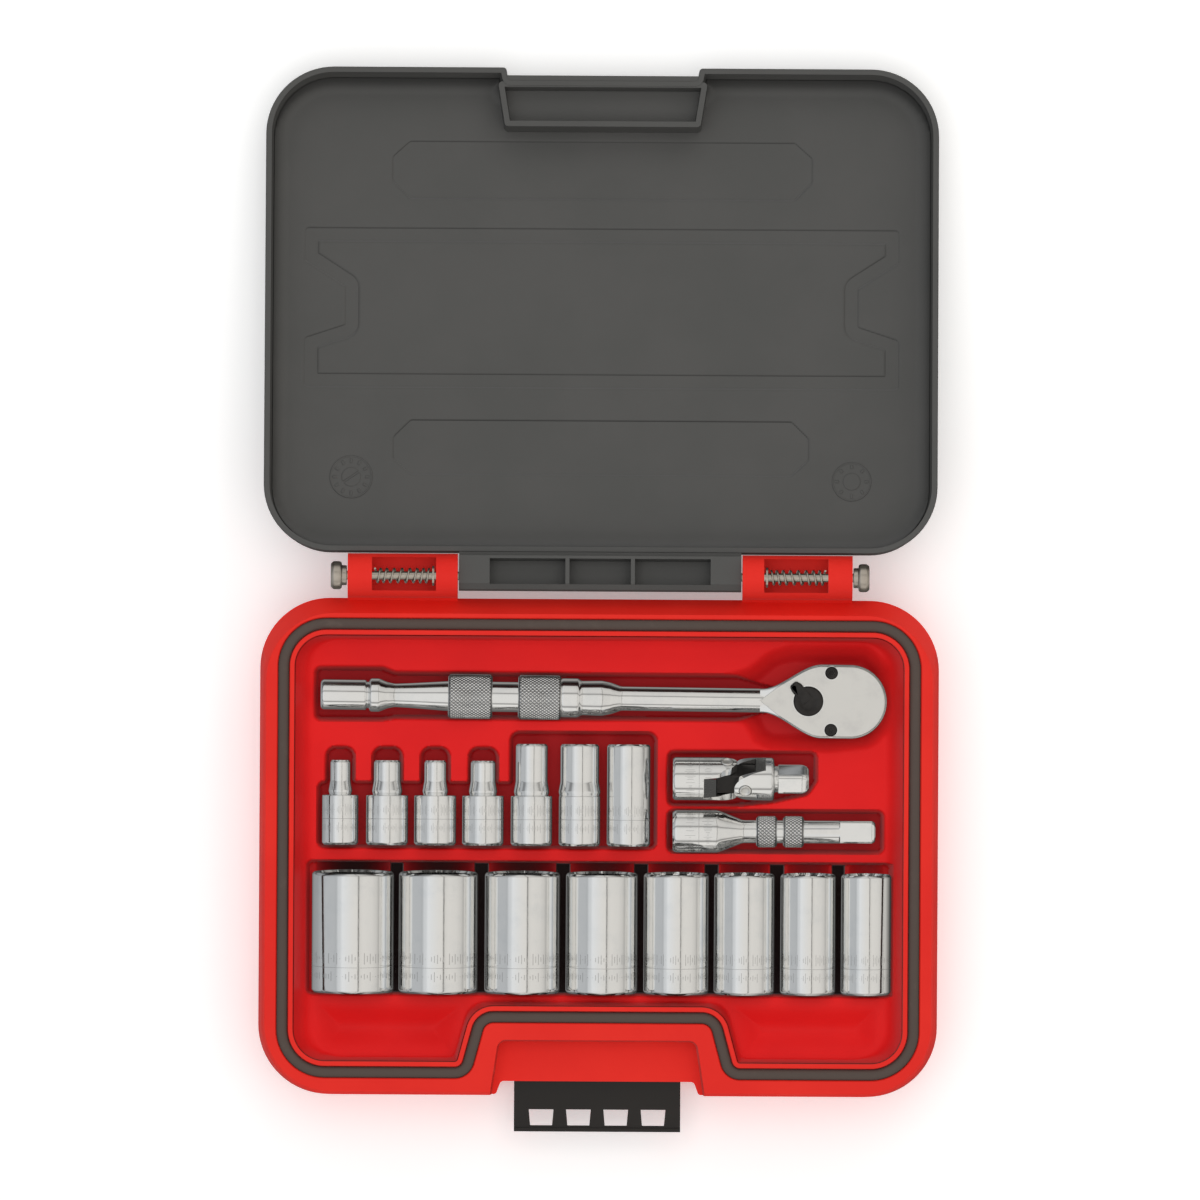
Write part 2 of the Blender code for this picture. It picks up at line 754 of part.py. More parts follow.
def build_sockets():
    """Seven short sockets behind, eight deep sockets in front, openings to the back."""
    for number, (x, radius, neck, length) in enumerate(SHORT):
        made = socket("short_socket_%d" % (number + 1), radius, neck, length, SHORT_STEP)
        made.rotation_euler = (math.radians(-90.0), 0.0, 0.0)
        made.location = (x * MM, SHORT_Y * MM, (SHORT_FLOOR + radius + GAP) * MM)
    for number, (x, radius) in enumerate(DEEP):
        made = socket("deep_socket_%d" % (number + 1), radius, radius, DEEP_LENGTH, 0.0)
        made.rotation_euler = (math.radians(DEEP_TILT - 90.0), 0.0, 0.0)
        made.location = (x * MM, DEEP_Y * MM, DEEP_Z * MM)


# ---- ratchet -----------------------------------------------------------------------------
def head_outline(grow=0.0):
    """The pear-shaped head about its drive axis: a round nose easing into the neck."""
    start, shoulder = -40.0, -3.0
    x = np.linspace(start + 8.0, shoulder, 8)
    t = np.clip((x - start) / (shoulder - start), 0, 1)
    half = 5.0 + (HEAD_R - 5.0) * (3 * t**2 - 2 * t**3) + grow
    angles = np.radians(np.linspace(-80, 80, 13))
    nose = np.stack([np.cos(angles), np.sin(angles)], axis=1) * (HEAD_R + grow)
    low = np.stack([x, -half], axis=1)
    high = np.stack([x, half], axis=1)[::-1]
    return np.concatenate([low, nose, high])


def build_ratchet():
    """Body, cover plate, screws, selector lever, drive gear and its detent ball."""
    frame = empty("ratchet_frame", RATCHET_X, RATCHET_Y, TOOL_Z, (0, 0, RATCHET_TURN))
    levels = [(-1.4, -7.2), (0.0, -5.8), (0.0, 5.6), (-0.6, 6.2)]
    rings = [at_z(head_outline(grow), z) for grow, z in levels]
    body = loft("ratchet_body", rings, CHROME, parent=frame)
    combine(body, handle(frame), "UNION")
    combine(body, rod("gear_well", 9.4, -9.0, -3.8, None, parent=frame), "DIFFERENCE")
    plate = [at_z(head_outline(g), z) for g, z in ((-0.5, 6.5), (-0.5, 7.2), (-1.0, 7.7))]
    plate = loft("cover_plate", plate, CHROME, parent=frame)
    centre = (LEVER_X, 0, 0)
    hole = rod("lever_hole", 6.7, 6.0, 9.0, None, centre, parent=frame)
    combine(plate, hole, "DIFFERENCE")
    for number, y in enumerate((12.0, -12.0)):
        centre = (-7.1, y, 0)
        hole = rod("screw_hole_%d" % number, 3.0, 6.0, 9.0, None, centre, parent=frame)
        combine(plate, hole, "DIFFERENCE")
        well = rod("screw_well_%d" % number, 1.8, 1.0, 9.0, None, centre, count=12, parent=frame)
        combine(body, well, "DIFFERENCE")
        screw = [(1.5, 1.4), (1.5, 6.5), (2.7, 6.5), (2.7, 7.4), (2.3, 7.7)]
        rings = [moved(circle(r, z, 12), *centre) for r, z in screw]
        loft("cover_screw_%d" % (number + 1), rings, OXIDE, parent=frame)
    build_lever(frame)
    build_drive(frame)


LEVER_X = -16.7


def handle(frame):
    """The turned handle: end cylinder, collar, cone, two knurled grips, band and shaft."""
    profile = [
        (5.5, -117.2),
        (6.3, -116.4),
        (6.3, -98.2),
        (5.5, -97.8),
        (5.5, -96.8),
        (7.0, -96.2),
        (7.0, -92.6),
        (4.9, -86.0),
        (6.2, -63.6),
        (9.3, -63.3),
        (9.3, -45.0),
        (6.3, -44.7),
        (6.3, -34.2),
        (9.3, -33.9),
        (9.3, -16.1),
        (6.9, -15.8),
        (7.0, 3.6),
        (5.0, 9.2),
        (5.0, 80.0),
    ]
    rings = [circle(r, x - RATCHET_X, 16, "X") for r, x in profile]
    return loft("ratchet_handle", rings, None, parent=frame)


def build_lever(frame):
    """The selector: a disc in the plate with a thumb tab over it."""
    axis = empty("lever_axis", LEVER_X, 0, 0, (0, 0, 132))
    axis.parent = frame
    lever = rod("selector_lever", 6.3, 6.6, 9.6, OXIDE, parent=axis)
    tab = [(0.0, -2.9), (8.2, -2.9), (9.9, -1.6), (9.9, 1.6), (8.2, 2.9), (0.0, 2.9)]
    rings = [at_z(tab, 8.0), at_z(tab, 9.3)]
    combine(lever, loft("thumb_tab", rings, None, parent=axis), "UNION")


def build_drive(frame):
    """The gear disc under the head with its drive square and ball."""
    rings = [
        square(DRIVE - 0.6, -18.0),
        square(DRIVE, -17.2),
        square(DRIVE, -6.9),
        circle(9.0, -6.9),
        circle(9.0, -4.1),
    ]
    drive = loft("ratchet_drive", rings, CHROME, parent=frame)
    detent("ratchet", drive, (0, -DRIVE + 0.5, -13.0), frame)


def detent(name, tang, centre, parent):
    """A ball sunk in the side of a drive square."""
    for label, radius, look in (("_ball_well", 1.7, None), ("_ball", 1.4, STEEL)):
        profile = [(0.35, -0.97), (0.85, -0.55), (1.0, 0.0), (0.85, 0.55), (0.35, 0.97)]
        rings = [moved(circle(radius * r, radius * z, 8), *centre) for r, z in profile]
        made = loft(name + label, rings, look, parent=parent)
        if not look:
            combine(tang, made, "DIFFERENCE")


# ---- universal joint ---------------------------------------------------------------------
def build_ujoint():
    """Two forked ends on a long block with two pins, rolled in its pocket; X runs to the tang."""
    frame = empty("ujoint_frame", UJOINT_X, UJOINT_Y, TOOL_Z, (UJOINT_ROLL, 0, 0))
    fork_rings = [
        circle(UJOINT_R - 0.5, -30.4, 24, "X"),
        circle(UJOINT_R, -29.9, 24, "X"),
        circle(UJOINT_R, -8.4, 24, "X"),
        circle(UJOINT_R - 0.4, -3.8, 24, "X"),
        circle(1.0, -3.8, 24, "X"),
        circle(1.0, -18.6, 24, "X"),
        square(DRIVE + 0.2, -18.6, 24, "X"),
        square(DRIVE + 0.2, -30.4, 24, "X"),
    ]
    fork = loft("ujoint_socket_yoke", fork_rings, CHROME, closed=True, parent=frame)
    slot = block("socket_yoke_slot", (-17.4, -4.8, -12), (8, 4.8, 12), None, frame)
    combine(fork, slot, "DIFFERENCE")
    trim_arms("socket_yoke", fork, SOCKET_ARM, frame, True)
    tang_rings = [
        circle(UJOINT_R - 0.4, -4.7, 24, "X"),
        circle(UJOINT_R, -0.6, 24, "X"),
        circle(UJOINT_R, 11.4, 24, "X"),
        circle(UJOINT_R - 0.6, 12.0, 24, "X"),
        circle(5.0, 12.2, 24, "X"),
        circle(5.0, 14.0, 24, "X"),
        square(DRIVE, 14.2, 24, "X"),
        square(DRIVE, 26.0, 24, "X"),
        square(DRIVE - 0.7, 26.8, 24, "X"),
    ]
    tang = loft("ujoint_tang_yoke", tang_rings, CHROME, parent=frame)
    slot = block("tang_yoke_slot", (-8, -12, -4.8), (8.6, 12, 4.8), None, frame)
    combine(tang, slot, "DIFFERENCE")
    trim_arms("tang_yoke", tang, TANG_ARM, frame, False)
    detent("ujoint", tang, (21.0, 0, 0.5 - DRIVE), frame)
    middle = block("ujoint_block", (-12.2, -4.5, -4.5), (4.4, 4.5, 4.5), OXIDE, frame)
    for name, x, yoke, sideways in (
        ("socket", UJOINT_PIN_X, fork, True),
        ("tang", 0.0, tang, False),
    ):
        bore = cross_pin(name + "_pin_bore", 2.9, 11.0, None, frame, x, sideways)
        combine(yoke, bore, "DIFFERENCE")
        combine(middle, bore, "DIFFERENCE")
        cross_pin("ujoint_pin_" + name, 2.6, 9.2, STEEL, frame, x, sideways)


def trim_arms(name, yoke, tongue, frame, sideways):
    """Cuts a yoke's arms to tongues with rounded tips, from both of their edges."""
    for label, sign in (("upper", 1), ("lower", -1)):
        edge = [(x, sign * half) for x, half in tongue][::sign]
        cutter = loft(name + "_trim_" + label, [at_z(edge, -12.0), at_z(edge, 12.0)], None, parent=frame)
        if sideways:
            cutter.data.transform(Matrix.Rotation(math.radians(-90.0), 4, "X"))
        combine(yoke, cutter, "DIFFERENCE")


def cross_pin(name, radius, half, look, frame, x, sideways):
    """A pin across the joint at x, along the frame's Y or its Z."""
    made = rod(name, radius, -half, half, look, (x, 0, 0), count=16, parent=frame)
    if sideways:
        made.data.transform(Matrix.Rotation(math.radians(-90.0), 4, "X"))
    return made


# ---- extension bar -----------------------------------------------------------------------
def build_extension():
    """The short extension: socket end, taper, two knurled bands and a square tang."""
    axis = empty("extension_frame", 0, EXTENSION_Y, TOOL_Z)
    profile = [
        (8.9, 31.6),
        (8.9, 50.4),
        (4.8, 60.6),
        (4.8, 66.2),
        (6.6, 66.5),
        (6.6, 74.7),
        (5.0, 75.0),
        (5.0, 77.5),
        (6.6, 77.8),
        (6.6, 86.0),
        (4.8, 86.3),
        (4.8, 101.0),
    ]
    rings = [square(DRIVE + 0.2, 42.0, 24, "X"), square(DRIVE + 0.2, 31.1, 24, "X")]
    rings += [circle(8.3, 31.1, 24, "X")]
    rings += [circle(r, x, 24, "X") for r, x in profile]
    rings += [square(DRIVE, x, 24, "X") for x in (101.4, 115.5)]
    rings += [square(DRIVE - 0.7, 116.3, 24, "X")]
    bar = loft("extension_bar", rings, CHROME, parent=axis)
    detent("extension", bar, (109.5, 0, 0.5 - DRIVE), axis)


build_base()
build_tray()
build_gasket()
build_lid()
build_latch()
build_hinge_pin("left", -1)
build_hinge_pin("right", 1)
build_ratchet()
build_ujoint()
build_extension()
build_sockets()
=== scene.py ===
# %% [markdown]
# # A socket wrench set in its case
#
# The object is a hinged plastic case with a moulded tray, a ratchet, a universal joint, a short
# extension and fifteen sockets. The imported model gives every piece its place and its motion.
# This lesson keeps that frame and gives the set its finished surfaces: each new piece is worked
# out as arrays of points and rides on the body it belongs to. Lengths are written in
# millimetres and turned into metres where a mesh is made.

import math

import bmesh
import bpy
import numpy as np
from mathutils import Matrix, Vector


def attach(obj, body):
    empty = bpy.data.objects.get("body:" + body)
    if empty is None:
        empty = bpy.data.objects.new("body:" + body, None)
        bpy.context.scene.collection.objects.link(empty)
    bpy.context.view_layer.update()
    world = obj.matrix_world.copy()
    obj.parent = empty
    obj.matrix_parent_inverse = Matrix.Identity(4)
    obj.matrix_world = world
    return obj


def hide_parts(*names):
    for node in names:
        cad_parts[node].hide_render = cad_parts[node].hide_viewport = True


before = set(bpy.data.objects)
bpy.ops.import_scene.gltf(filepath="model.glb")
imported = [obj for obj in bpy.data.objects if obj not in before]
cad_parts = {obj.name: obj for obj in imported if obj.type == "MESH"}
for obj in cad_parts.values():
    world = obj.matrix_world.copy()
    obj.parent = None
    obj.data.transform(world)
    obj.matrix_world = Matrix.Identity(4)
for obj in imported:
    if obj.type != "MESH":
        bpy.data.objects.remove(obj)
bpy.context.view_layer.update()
MM = 0.001

# %% [markdown]
# ## Outlines and skins
#
# Most of the case is one cross-section carried round a rounded outline. The outline could be
# drawn as a curve with a bevel, but then its corners could not change radius from level to
# level. Here each level is worked out on its own: straight sides are moved outwards by a
# distance, and arcs join them.


# %% Rounded outline
def outline(corners, radii, grow=0.0, steps=14):
    """An anticlockwise outline with arcs at its corners, every side moved outwards by grow.

    Two moved sides meet at p + grow (n0 + n1) / (1 + n0.n1). The arc starts radius times
    tan(turn / 2) before that point; its centre lies one radius inside the first side.
    """
    points = np.asarray(corners, float)
    along = np.roll(points, -1, axis=0) - points
    along /= np.linalg.norm(along, axis=1, keepdims=True)
    out = np.stack([along[:, 1], -along[:, 0]], axis=1)
    d0, n0 = np.roll(along, 1, axis=0), np.roll(out, 1, axis=0)
    meet = points + grow * (n0 + out) / (1 + np.sum(n0 * out, axis=1, keepdims=True))
    cross = d0[:, 0] * along[:, 1] - d0[:, 1] * along[:, 0]
    turn = np.arctan2(cross, np.sum(d0 * along, axis=1))
    side = np.sign(turn)
    radius = np.maximum(np.asarray(radii, float) + side * grow, 0.25)
    start = meet - d0 * (radius * np.tan(abs(turn) / 2))[:, None]
    arm = (side * radius)[:, None] * n0
    centre = start - arm
    t = np.linspace(0, 1, steps) * turn[:, None]
    x = centre[:, :1] + np.cos(t) * arm[:, :1] - np.sin(t) * arm[:, 1:]
    y = centre[:, 1:] + np.sin(t) * arm[:, :1] + np.cos(t) * arm[:, 1:]
    return np.stack([x, y], axis=-1).reshape(-1, 2)


def level(flat, z):
    """A flat outline lifted to height z."""
    return np.column_stack([flat, np.full(len(flat), float(z))])


def mirrored(half):
    """A whole outline from its left half, listed from front to back."""
    return half + [(-x, y) for x, y in reversed(half)]


# %% Profile with eased corners
def eased(profile, reach=0.5, steps=4):
    """A profile whose inner corners are parabolas: (1-t)^2 a + 2t(1-t) corner + t^2 b.

    The points a and b lie on the two sides, at most reach away from the corner.
    """
    p = np.asarray(profile, float)
    before, here, after = p[:-2], p[1:-1], p[2:]

    def toward(other):
        gap = other - here
        size = np.linalg.norm(gap, axis=1, keepdims=True)
        return here + gap * np.minimum(0.45, reach / np.maximum(size, 1e-9))

    t = np.linspace(0, 1, steps)[None, :, None]
    a, b, c = toward(before)[:, None], toward(after)[:, None], here[:, None]
    arcs = (1 - t) ** 2 * a + 2 * t * (1 - t) * c + t**2 * b
    return np.vstack([p[:1], arcs.reshape(-1, 2), p[-1:]])


# %% Faces of a skin
def skin(rings, closed=False, caps=True):
    """Points and faces of a skin over rings of equal count, shape (rings, count, 3).

    The face between rings i and i + 1 joins columns k and k + 1, the last column the first.
    """
    rings = np.asarray(rings, float)
    rows, count = rings.shape[:2]
    i = np.arange(rows if closed else rows - 1)[:, None]
    k = np.arange(count)[None, :]
    a, b = i * count, (i + 1) % rows * count
    n = (k + 1) % count
    faces = np.stack([a + k, a + n, b + n, b + k], axis=-1).reshape(-1, 4).tolist()
    if caps and not closed:
        faces.append(list(range(count))[::-1])
        faces.append(list(range((rows - 1) * count, rows * count)))
    return rings.reshape(-1, 3), faces


def shape(name, points, faces):
    """A mesh object from points in millimetres, its faces turned outwards."""
    mesh = bpy.data.meshes.new(name)
    mesh.from_pydata((np.asarray(points) * MM).tolist(), [], faces)
    work = bmesh.new()
    work.from_mesh(mesh)
    bmesh.ops.recalc_face_normals(work, faces=work.faces)
    work.to_mesh(mesh)
    work.free()
    made = bpy.data.objects.new(name, mesh)
    bpy.context.scene.collection.objects.link(made)
    return made


def loft(name, rings, closed=False):
    """A solid over a stack of rings."""
    return shape(name, *skin(rings, closed))


def block(name, low, high):
    """A box between two corners, used as a cutter."""
    (x0, y0, z0), (x1, y1, z1) = low, high
    foot = np.array([(x0, y0), (x1, y0), (x1, y1), (x0, y1)], float)
    return loft(name, [level(foot, z0), level(foot, z1)])


def spun(profile, count=64):
    """Rings round Z: the profile's radius and height, turned through a full circle."""
    profile = np.asarray(profile, float)
    a = np.arange(count) * math.tau / count
    r, z = profile[:, :1], profile[:, 1:]
    return np.stack([r * np.cos(a), r * np.sin(a), z + 0 * a], axis=-1)


def facing_x(rings):
    """Rings round Z laid over so that their axis points along X."""
    rings = np.asarray(rings)
    return np.stack([rings[..., 2], rings[..., 0], rings[..., 1]], axis=-1)


def keep(made, name, values):
    """Stores a number, or three, with each point of a piece for its finish to read."""
    values = np.asarray(values, float)
    kind, field = ("FLOAT", "value") if values.ndim == 1 else ("FLOAT_VECTOR", "vector")
    made.data.attributes.new(name, kind, "POINT").data.foreach_set(field, values.ravel())
    return made


def points_of(made):
    """The points of a piece in millimetres."""
    return np.array([v.co for v in made.data.vertices]) / MM


def turned(points):
    """Height along Z and the sine and cosine of the angle about it, for pieces turned on Z."""
    x, y, z = (np.asarray(points)[..., k].ravel() for k in range(3))
    angle = np.arctan2(y, x)
    return np.stack([z, np.sin(angle), np.cos(angle)], axis=-1)


# %% Carving and softening
def bake(made):
    """Replaces an object's mesh by the result of its modifiers."""
    graph = bpy.context.evaluated_depsgraph_get()
    mesh = bpy.data.meshes.new_from_object(made.evaluated_get(graph))
    made.modifiers.clear()
    made.data = mesh


def carve(target, *steps):
    """Boolean steps, each an operation and another solid, which is used up."""
    for operation, other in steps:
        step = target.modifiers.new(operation.lower(), "BOOLEAN")
        step.operation, step.object, step.solver = operation, other, "EXACT"
    bake(target)
    for _, other in steps:
        bpy.data.objects.remove(other)
    return target


def soften(target, width, segments=3, angle=28.0):
    """Rounds every edge sharper than the angle, as a mould or a tumbling drum does."""
    step = target.modifiers.new("soften", "BEVEL")
    step.width, step.segments = width * MM, segments
    step.limit_method, step.angle_limit = "ANGLE", math.radians(angle)
    step.use_clamp_overlap = True
    step.miter_outer = "MITER_ARC"
    even = target.modifiers.new("even", "WEIGHTED_NORMAL")
    even.keep_sharp = True
    target.data.shade_smooth()
    bake(target)
    return target


def smooth(target, angle=32.0):
    """Smooth shading that stops at edges sharper than the angle."""
    target.data.shade_smooth()
    target.data.set_sharp_from_angle(angle=math.radians(angle))
    return target


MADE = []


def finished(target, look, body, replaces=()):
    """Gives a piece its finish, its body and the nodes it stands for."""
    target.data.materials.clear()
    target.data.materials.append(look)
    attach(target, body)
    if replaces:
        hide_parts(*replaces)
    MADE.append(target)
    target.data.calc_loop_triangles()
    print(f"{target.name}: {len(target.data.loop_triangles)} triangles on {body}")
    return target


# %% [markdown]
# ## Shader sums
#
# A finish is a small tree of nodes. Wiring it by hand is long, so one class wraps a node's
# output and lets Python's own operators add the Math nodes. Any other node comes from one
# method that takes the node's type, its settings and the values or links of its sockets.


# %% A value that varies over a surface
class Value:
    """The output of a shader node, usable in Python sums."""

    def __init__(self, finish, socket):
        self.finish, self.socket = finish, socket

    def sum(self, operation, *terms):
        return self.finish.node("ShaderNodeMath", {"operation": operation}, terms)

    def __add__(self, other):
        return self.sum("ADD", self, other)

    def __sub__(self, other):
        return self.sum("SUBTRACT", self, other)

    def __rsub__(self, other):
        return self.sum("SUBTRACT", other, self)

    def __mul__(self, other):
        return self.sum("MULTIPLY", self, other)

    def __truediv__(self, other):
        return self.sum("DIVIDE", self, other)

    def __gt__(self, other):
        return self.sum("GREATER_THAN", self, other)

    def __lt__(self, other):
        return self.sum("LESS_THAN", self, other)

    __radd__ = __add__
    __rmul__ = __mul__

    def __abs__(self):
        return self.sum("ABSOLUTE", self)

    def clipped(self):
        return self.finish.node("ShaderNodeClamp", {}, [self])

    def ramp(self, low, high):
        """Nought below low, one above high, and an eased step between."""
        settings = {"interpolation_type": "SMOOTHSTEP"}
        return self.finish.node("ShaderNodeMapRange", settings, [self, low, high])


class Tree:
    """A node tree under construction."""

    def __init__(self, tree):
        self.tree = tree

    def node(self, kind, settings, inputs, output=0):
        """A node with its settings first, then its sockets' values or links."""
        made = self.tree.nodes.new(kind)
        for name, value in settings.items():
            if name == "stops":
                self.set_stops(made.color_ramp, value)
            else:
                setattr(made, name, value)
        named = inputs.items() if isinstance(inputs, dict) else enumerate(inputs)
        for name, value in named:
            if isinstance(value, Value):
                self.tree.links.new(value.socket, made.inputs[name])
            else:
                made.inputs[name].default_value = value
        return Value(self, made.outputs[output])

    def set_stops(self, ramp, stops):
        """Puts a ramp's stops in place, each a position and a grey value."""
        while len(ramp.elements) < len(stops):
            ramp.elements.new(1.0)
        for element, (position, grey) in zip(ramp.elements, stops):
            element.position, element.color = position, (grey, grey, grey, 1.0)


class Finish(Tree):
    """A material under construction, on Object coordinates."""

    def __init__(self, name):
        self.material = bpy.data.materials.new(name)
        self.material.use_nodes = True
        super().__init__(self.material.node_tree)
        self.shader = self.tree.nodes["Principled BSDF"]
        self.place = self.node("ShaderNodeTexCoord", {}, [], "Object")

    def noise(self, size, detail=3.0, roughness=0.5, at=None):
        """Smooth noise with features of about the given size in millimetres."""
        inputs = {"Vector": at or self.place, "Scale": 1 / (size * MM)}
        inputs |= {"Detail": detail, "Roughness": roughness}
        return self.node("ShaderNodeTexNoise", {}, inputs, "Fac")

    def stretched(self, x, y, z):
        """Object coordinates scaled unevenly, for grain and brushing."""
        inputs = {"Vector": self.place, "Scale": (x, y, z)}
        return self.node("ShaderNodeMapping", {}, inputs, "Vector")

    def stored(self, name, output):
        """A value stored with the piece's own points."""
        return self.node("ShaderNodeAttribute", {"attribute_name": name}, [], output)

    def mix(self, factor, a, b):
        """Two colours mixed by a factor."""
        settings = {"data_type": "RGBA"}
        colours = [c if isinstance(c, Value) else (*c, 1.0) for c in (a, b)]
        return self.node("ShaderNodeMix", settings, {0: factor, 6: colours[0], 7: colours[1]}, 2)

    def bump(self, height, distance, strength=1.0, after=None):
        """A bump whose full height is the distance in millimetres."""
        inputs = {"Height": height, "Distance": distance * MM, "Strength": strength}
        if after:
            inputs["Normal"] = after
        return self.node("ShaderNodeBump", {}, inputs)

    def wear(self, **sockets):
        """Sets the shader's sockets; Base_Color means Base Color."""
        for name, value in sockets.items():
            socket = self.shader.inputs[name.replace("_", " ")]
            if isinstance(value, Value):
                self.tree.links.new(value.socket, socket)
            else:
                socket.default_value = value
        return self.material


# %% [markdown]
# ## Plastics and rubber
#
# The base and its tray are injection-moulded polypropylene in a strong red. Such plastic is a
# little translucent, with a fine spark-eroded grain and a soft sheen, and its colour drifts by
# a few percent where the melt flowed. The lid is the same stuff in a mid grey. A bump of two
# noises gives the grain, and a broad noise moves colour and roughness.


# %% Moulded plastic
def moulded(name, light, dark, rough, grain=0.02, shine=0.42, deep=None, slope_shading=False):
    """Grained plastic between two close colours.

    deep gives two darker colours, painted shade that grows with depth: one at the floors of the
    pockets and a near black one far below them, in the narrow hollows where shade falls. With
    slope shading, one side of each sunk line gets painted shade and the other a painted
    highlight, by the slope stored with the piece.
    """
    f = Finish(name)
    drift = f.noise(38.0, 4.0, 0.55)
    cloud = drift.ramp(0.3, 0.7)
    fine = f.noise(0.42, 2.0, 0.6)
    pebble = f.noise(1.3, 2.0, 0.5)
    scuff = f.noise(6.0, 8.0, 0.75, f.stretched(1.0, 0.12, 1.0)).ramp(0.62, 0.8)
    colour = f.mix(cloud, dark, light)
    # Painted shade and painted highlight on the two sides of each sunk line, by its stored slope.
    if slope_shading:
        slope = f.stored("slope", "Fac")
        colour = f.mix(slope.ramp(0.1, 1.1) * 0.55, colour, (0.02, 0.02, 0.02))
        colour = f.mix((0.0 - slope).ramp(0.1, 1.1) * 0.4, colour, (0.17, 0.17, 0.17))
    # Painted shade: the colour darkens in two steps with height, down into the pockets.
    if deep:
        height = f.node("ShaderNodeSeparateXYZ", {}, [f.place], 2)
        colour = f.mix(height.ramp(0.0225, 0.0305), deep[0], colour)
        colour = f.mix(height.ramp(0.0165, 0.0250), deep[1], colour)
    rough_now = rough + (fine - 0.5) * 0.10 + (drift - 0.5) * 0.12 - scuff * 0.06
    bumped = f.bump(fine * 0.6 + pebble * 0.4, grain * 2.0)
    f.shader.inputs["Specular IOR Level"].default_value = shine
    return f.wear(Base_Color=colour, Roughness=rough_now, Normal=bumped)


RED = moulded("red_shell_plastic", (0.84, 0.026, 0.016), (0.79, 0.020, 0.013), 0.46, 0.02, 0.2)
POCKET_SHADE_REDS = (0.36, 0.006, 0.010), (0.012, 0.003, 0.003)
TRAY_RED = (0.80, 0.013, 0.013), (0.75, 0.010, 0.011)
LID_GREY = (0.084, 0.083, 0.080), (0.076, 0.076, 0.073)
# The tray's red takes painted shade down its pockets and in the gaps between the sockets.
RED_TRAY = moulded("red_tray_plastic", *TRAY_RED, 0.42, 0.02, 0.16, POCKET_SHADE_REDS)
# The lid's grey takes painted shade and painted highlight along its sunk lines.
GREY = moulded("grey_lid_plastic", *LID_GREY, 0.55, 0.02, 0.4, slope_shading=True)
BLACK = moulded("black_latch_plastic", (0.012, 0.009, 0.007), (0.008, 0.006, 0.005), 0.3, 0.012, 0.4)
print("plastics ready")


# %% Rubber seal
def rubber(name):
    """Dark extruded rubber: dull, with fine lines along its length and pale dust."""
    f = Finish(name)
    dust = f.noise(9.0, 6.0, 0.7).ramp(0.55, 0.8)
    pore = f.noise(0.3, 3.0, 0.6)
    colour = f.mix(dust, (0.085, 0.062, 0.052), (0.115, 0.088, 0.074))
    rough = 0.72 + (pore - 0.5) * 0.2 + dust * 0.1
    return f.wear(Base_Color=colour, Roughness=rough, Normal=f.bump(pore, 0.05))


RUBBER = rubber("seal_rubber")
print("rubber ready")

# %% [markdown]
# ## Metals
#
# The tools are forged steel under bright chrome. Chrome is never a perfect mirror: polishing
# leaves faint lines round a turned piece, the plate follows a slight waviness of the steel
# below, and handling leaves thin smears. The cover plate and the joint's pins are satin, the
# hinge pins and springs are plain steel, and the selector, the screws and the joint's block
# are blackened.


# %% Chrome and steel
def etched(f):
    """Rows of short plain bars and a ring line round a turned piece, one where they are.

    The piece stores its height along the axis in millimetres and the sine and cosine of the
    angle round it. A bar's length comes from white noise on its number.
    """
    along, sine, cosine = (
        f.node("ShaderNodeSeparateXYZ", {}, [f.stored("turned", "Vector")], k) for k in range(3)
    )
    angle = sine.sum("ARCTAN2", sine, cosine)
    step = angle * 13.0 + 60.0
    count = step.sum("FLOOR", step)
    inside = step - count
    bar = (inside > 0.3) * (inside < 0.62)
    marks = (along > 10.9) * (along < 11.15)
    for low, high in ((5.0, 9.6), (12.4, 17.2)):
        chance = f.node("ShaderNodeTexWhiteNoise", {"noise_dimensions": "1D"}, {"W": count + low})
        middle = abs((along - (low + high) / 2) / (high - low))
        marks = marks + bar * (middle < chance * 0.62 - 0.1)
    return marks.clipped()


def metal(name, colour, tint, rough, wave, line=(1.0, 1.0, 1.0), lines=0.0, size=0.25, extra=None):
    """Metal with waviness, smears and fine lines along the axis whose scale is small.

    extra is "etched" for marks round the piece, or "crest" for a knurl whose grooves get painted shade.
    """
    f = Finish(name)
    sway = f.noise(7.0, 2.0, 0.5)
    smear = f.noise(14.0, 6.0, 0.65).ramp(0.45, 0.75)
    brushed = f.noise(size, 4.0, 0.7, f.stretched(*line))
    speck = f.noise(0.9, 5.0, 0.7).ramp(0.66, 0.74)
    shade = f.mix(smear, colour, tint)
    rough_now = rough + smear * 0.05 + (brushed - 0.5) * lines + speck * 0.05
    bumped = f.bump(sway, wave)
    bumped = f.bump(brushed, 0.004 + lines * 0.03, 1.0, bumped)
    if extra == "etched":
        marks = etched(f)
        shade = f.mix(marks * 0.45, shade, (0.30, 0.30, 0.29))
        rough_now = rough_now + marks * 0.2
    if extra == "crest":
        # Painted shade: the knurl's grooves turn grey by the stored crest height.
        crest = f.stored("crest", "Fac").ramp(0.2, 0.8)
        shade = f.mix(crest, (0.22, 0.22, 0.22), shade)
    made = f.wear(Base_Color=shade, Roughness=rough_now, Normal=bumped)
    f.shader.inputs["Metallic"].default_value = 1.0
    return made


BRIGHT, PALE = (0.90, 0.90, 0.89), (0.84, 0.85, 0.85)
CHROME_ALONG_Y = metal("chrome_sockets", BRIGHT, PALE, 0.075, 0.02, (1, 0.04, 1), 0.05, 0.25, "etched")
CHROME_ALONG_X = metal("chrome_bars", BRIGHT, PALE, 0.07, 0.02, (0.04, 1, 1), 0.05)
CHROME_MARKED = metal("chrome_marked", BRIGHT, PALE, 0.07, 0.02, (0.04, 1, 1), 0.05, 0.25, "etched")
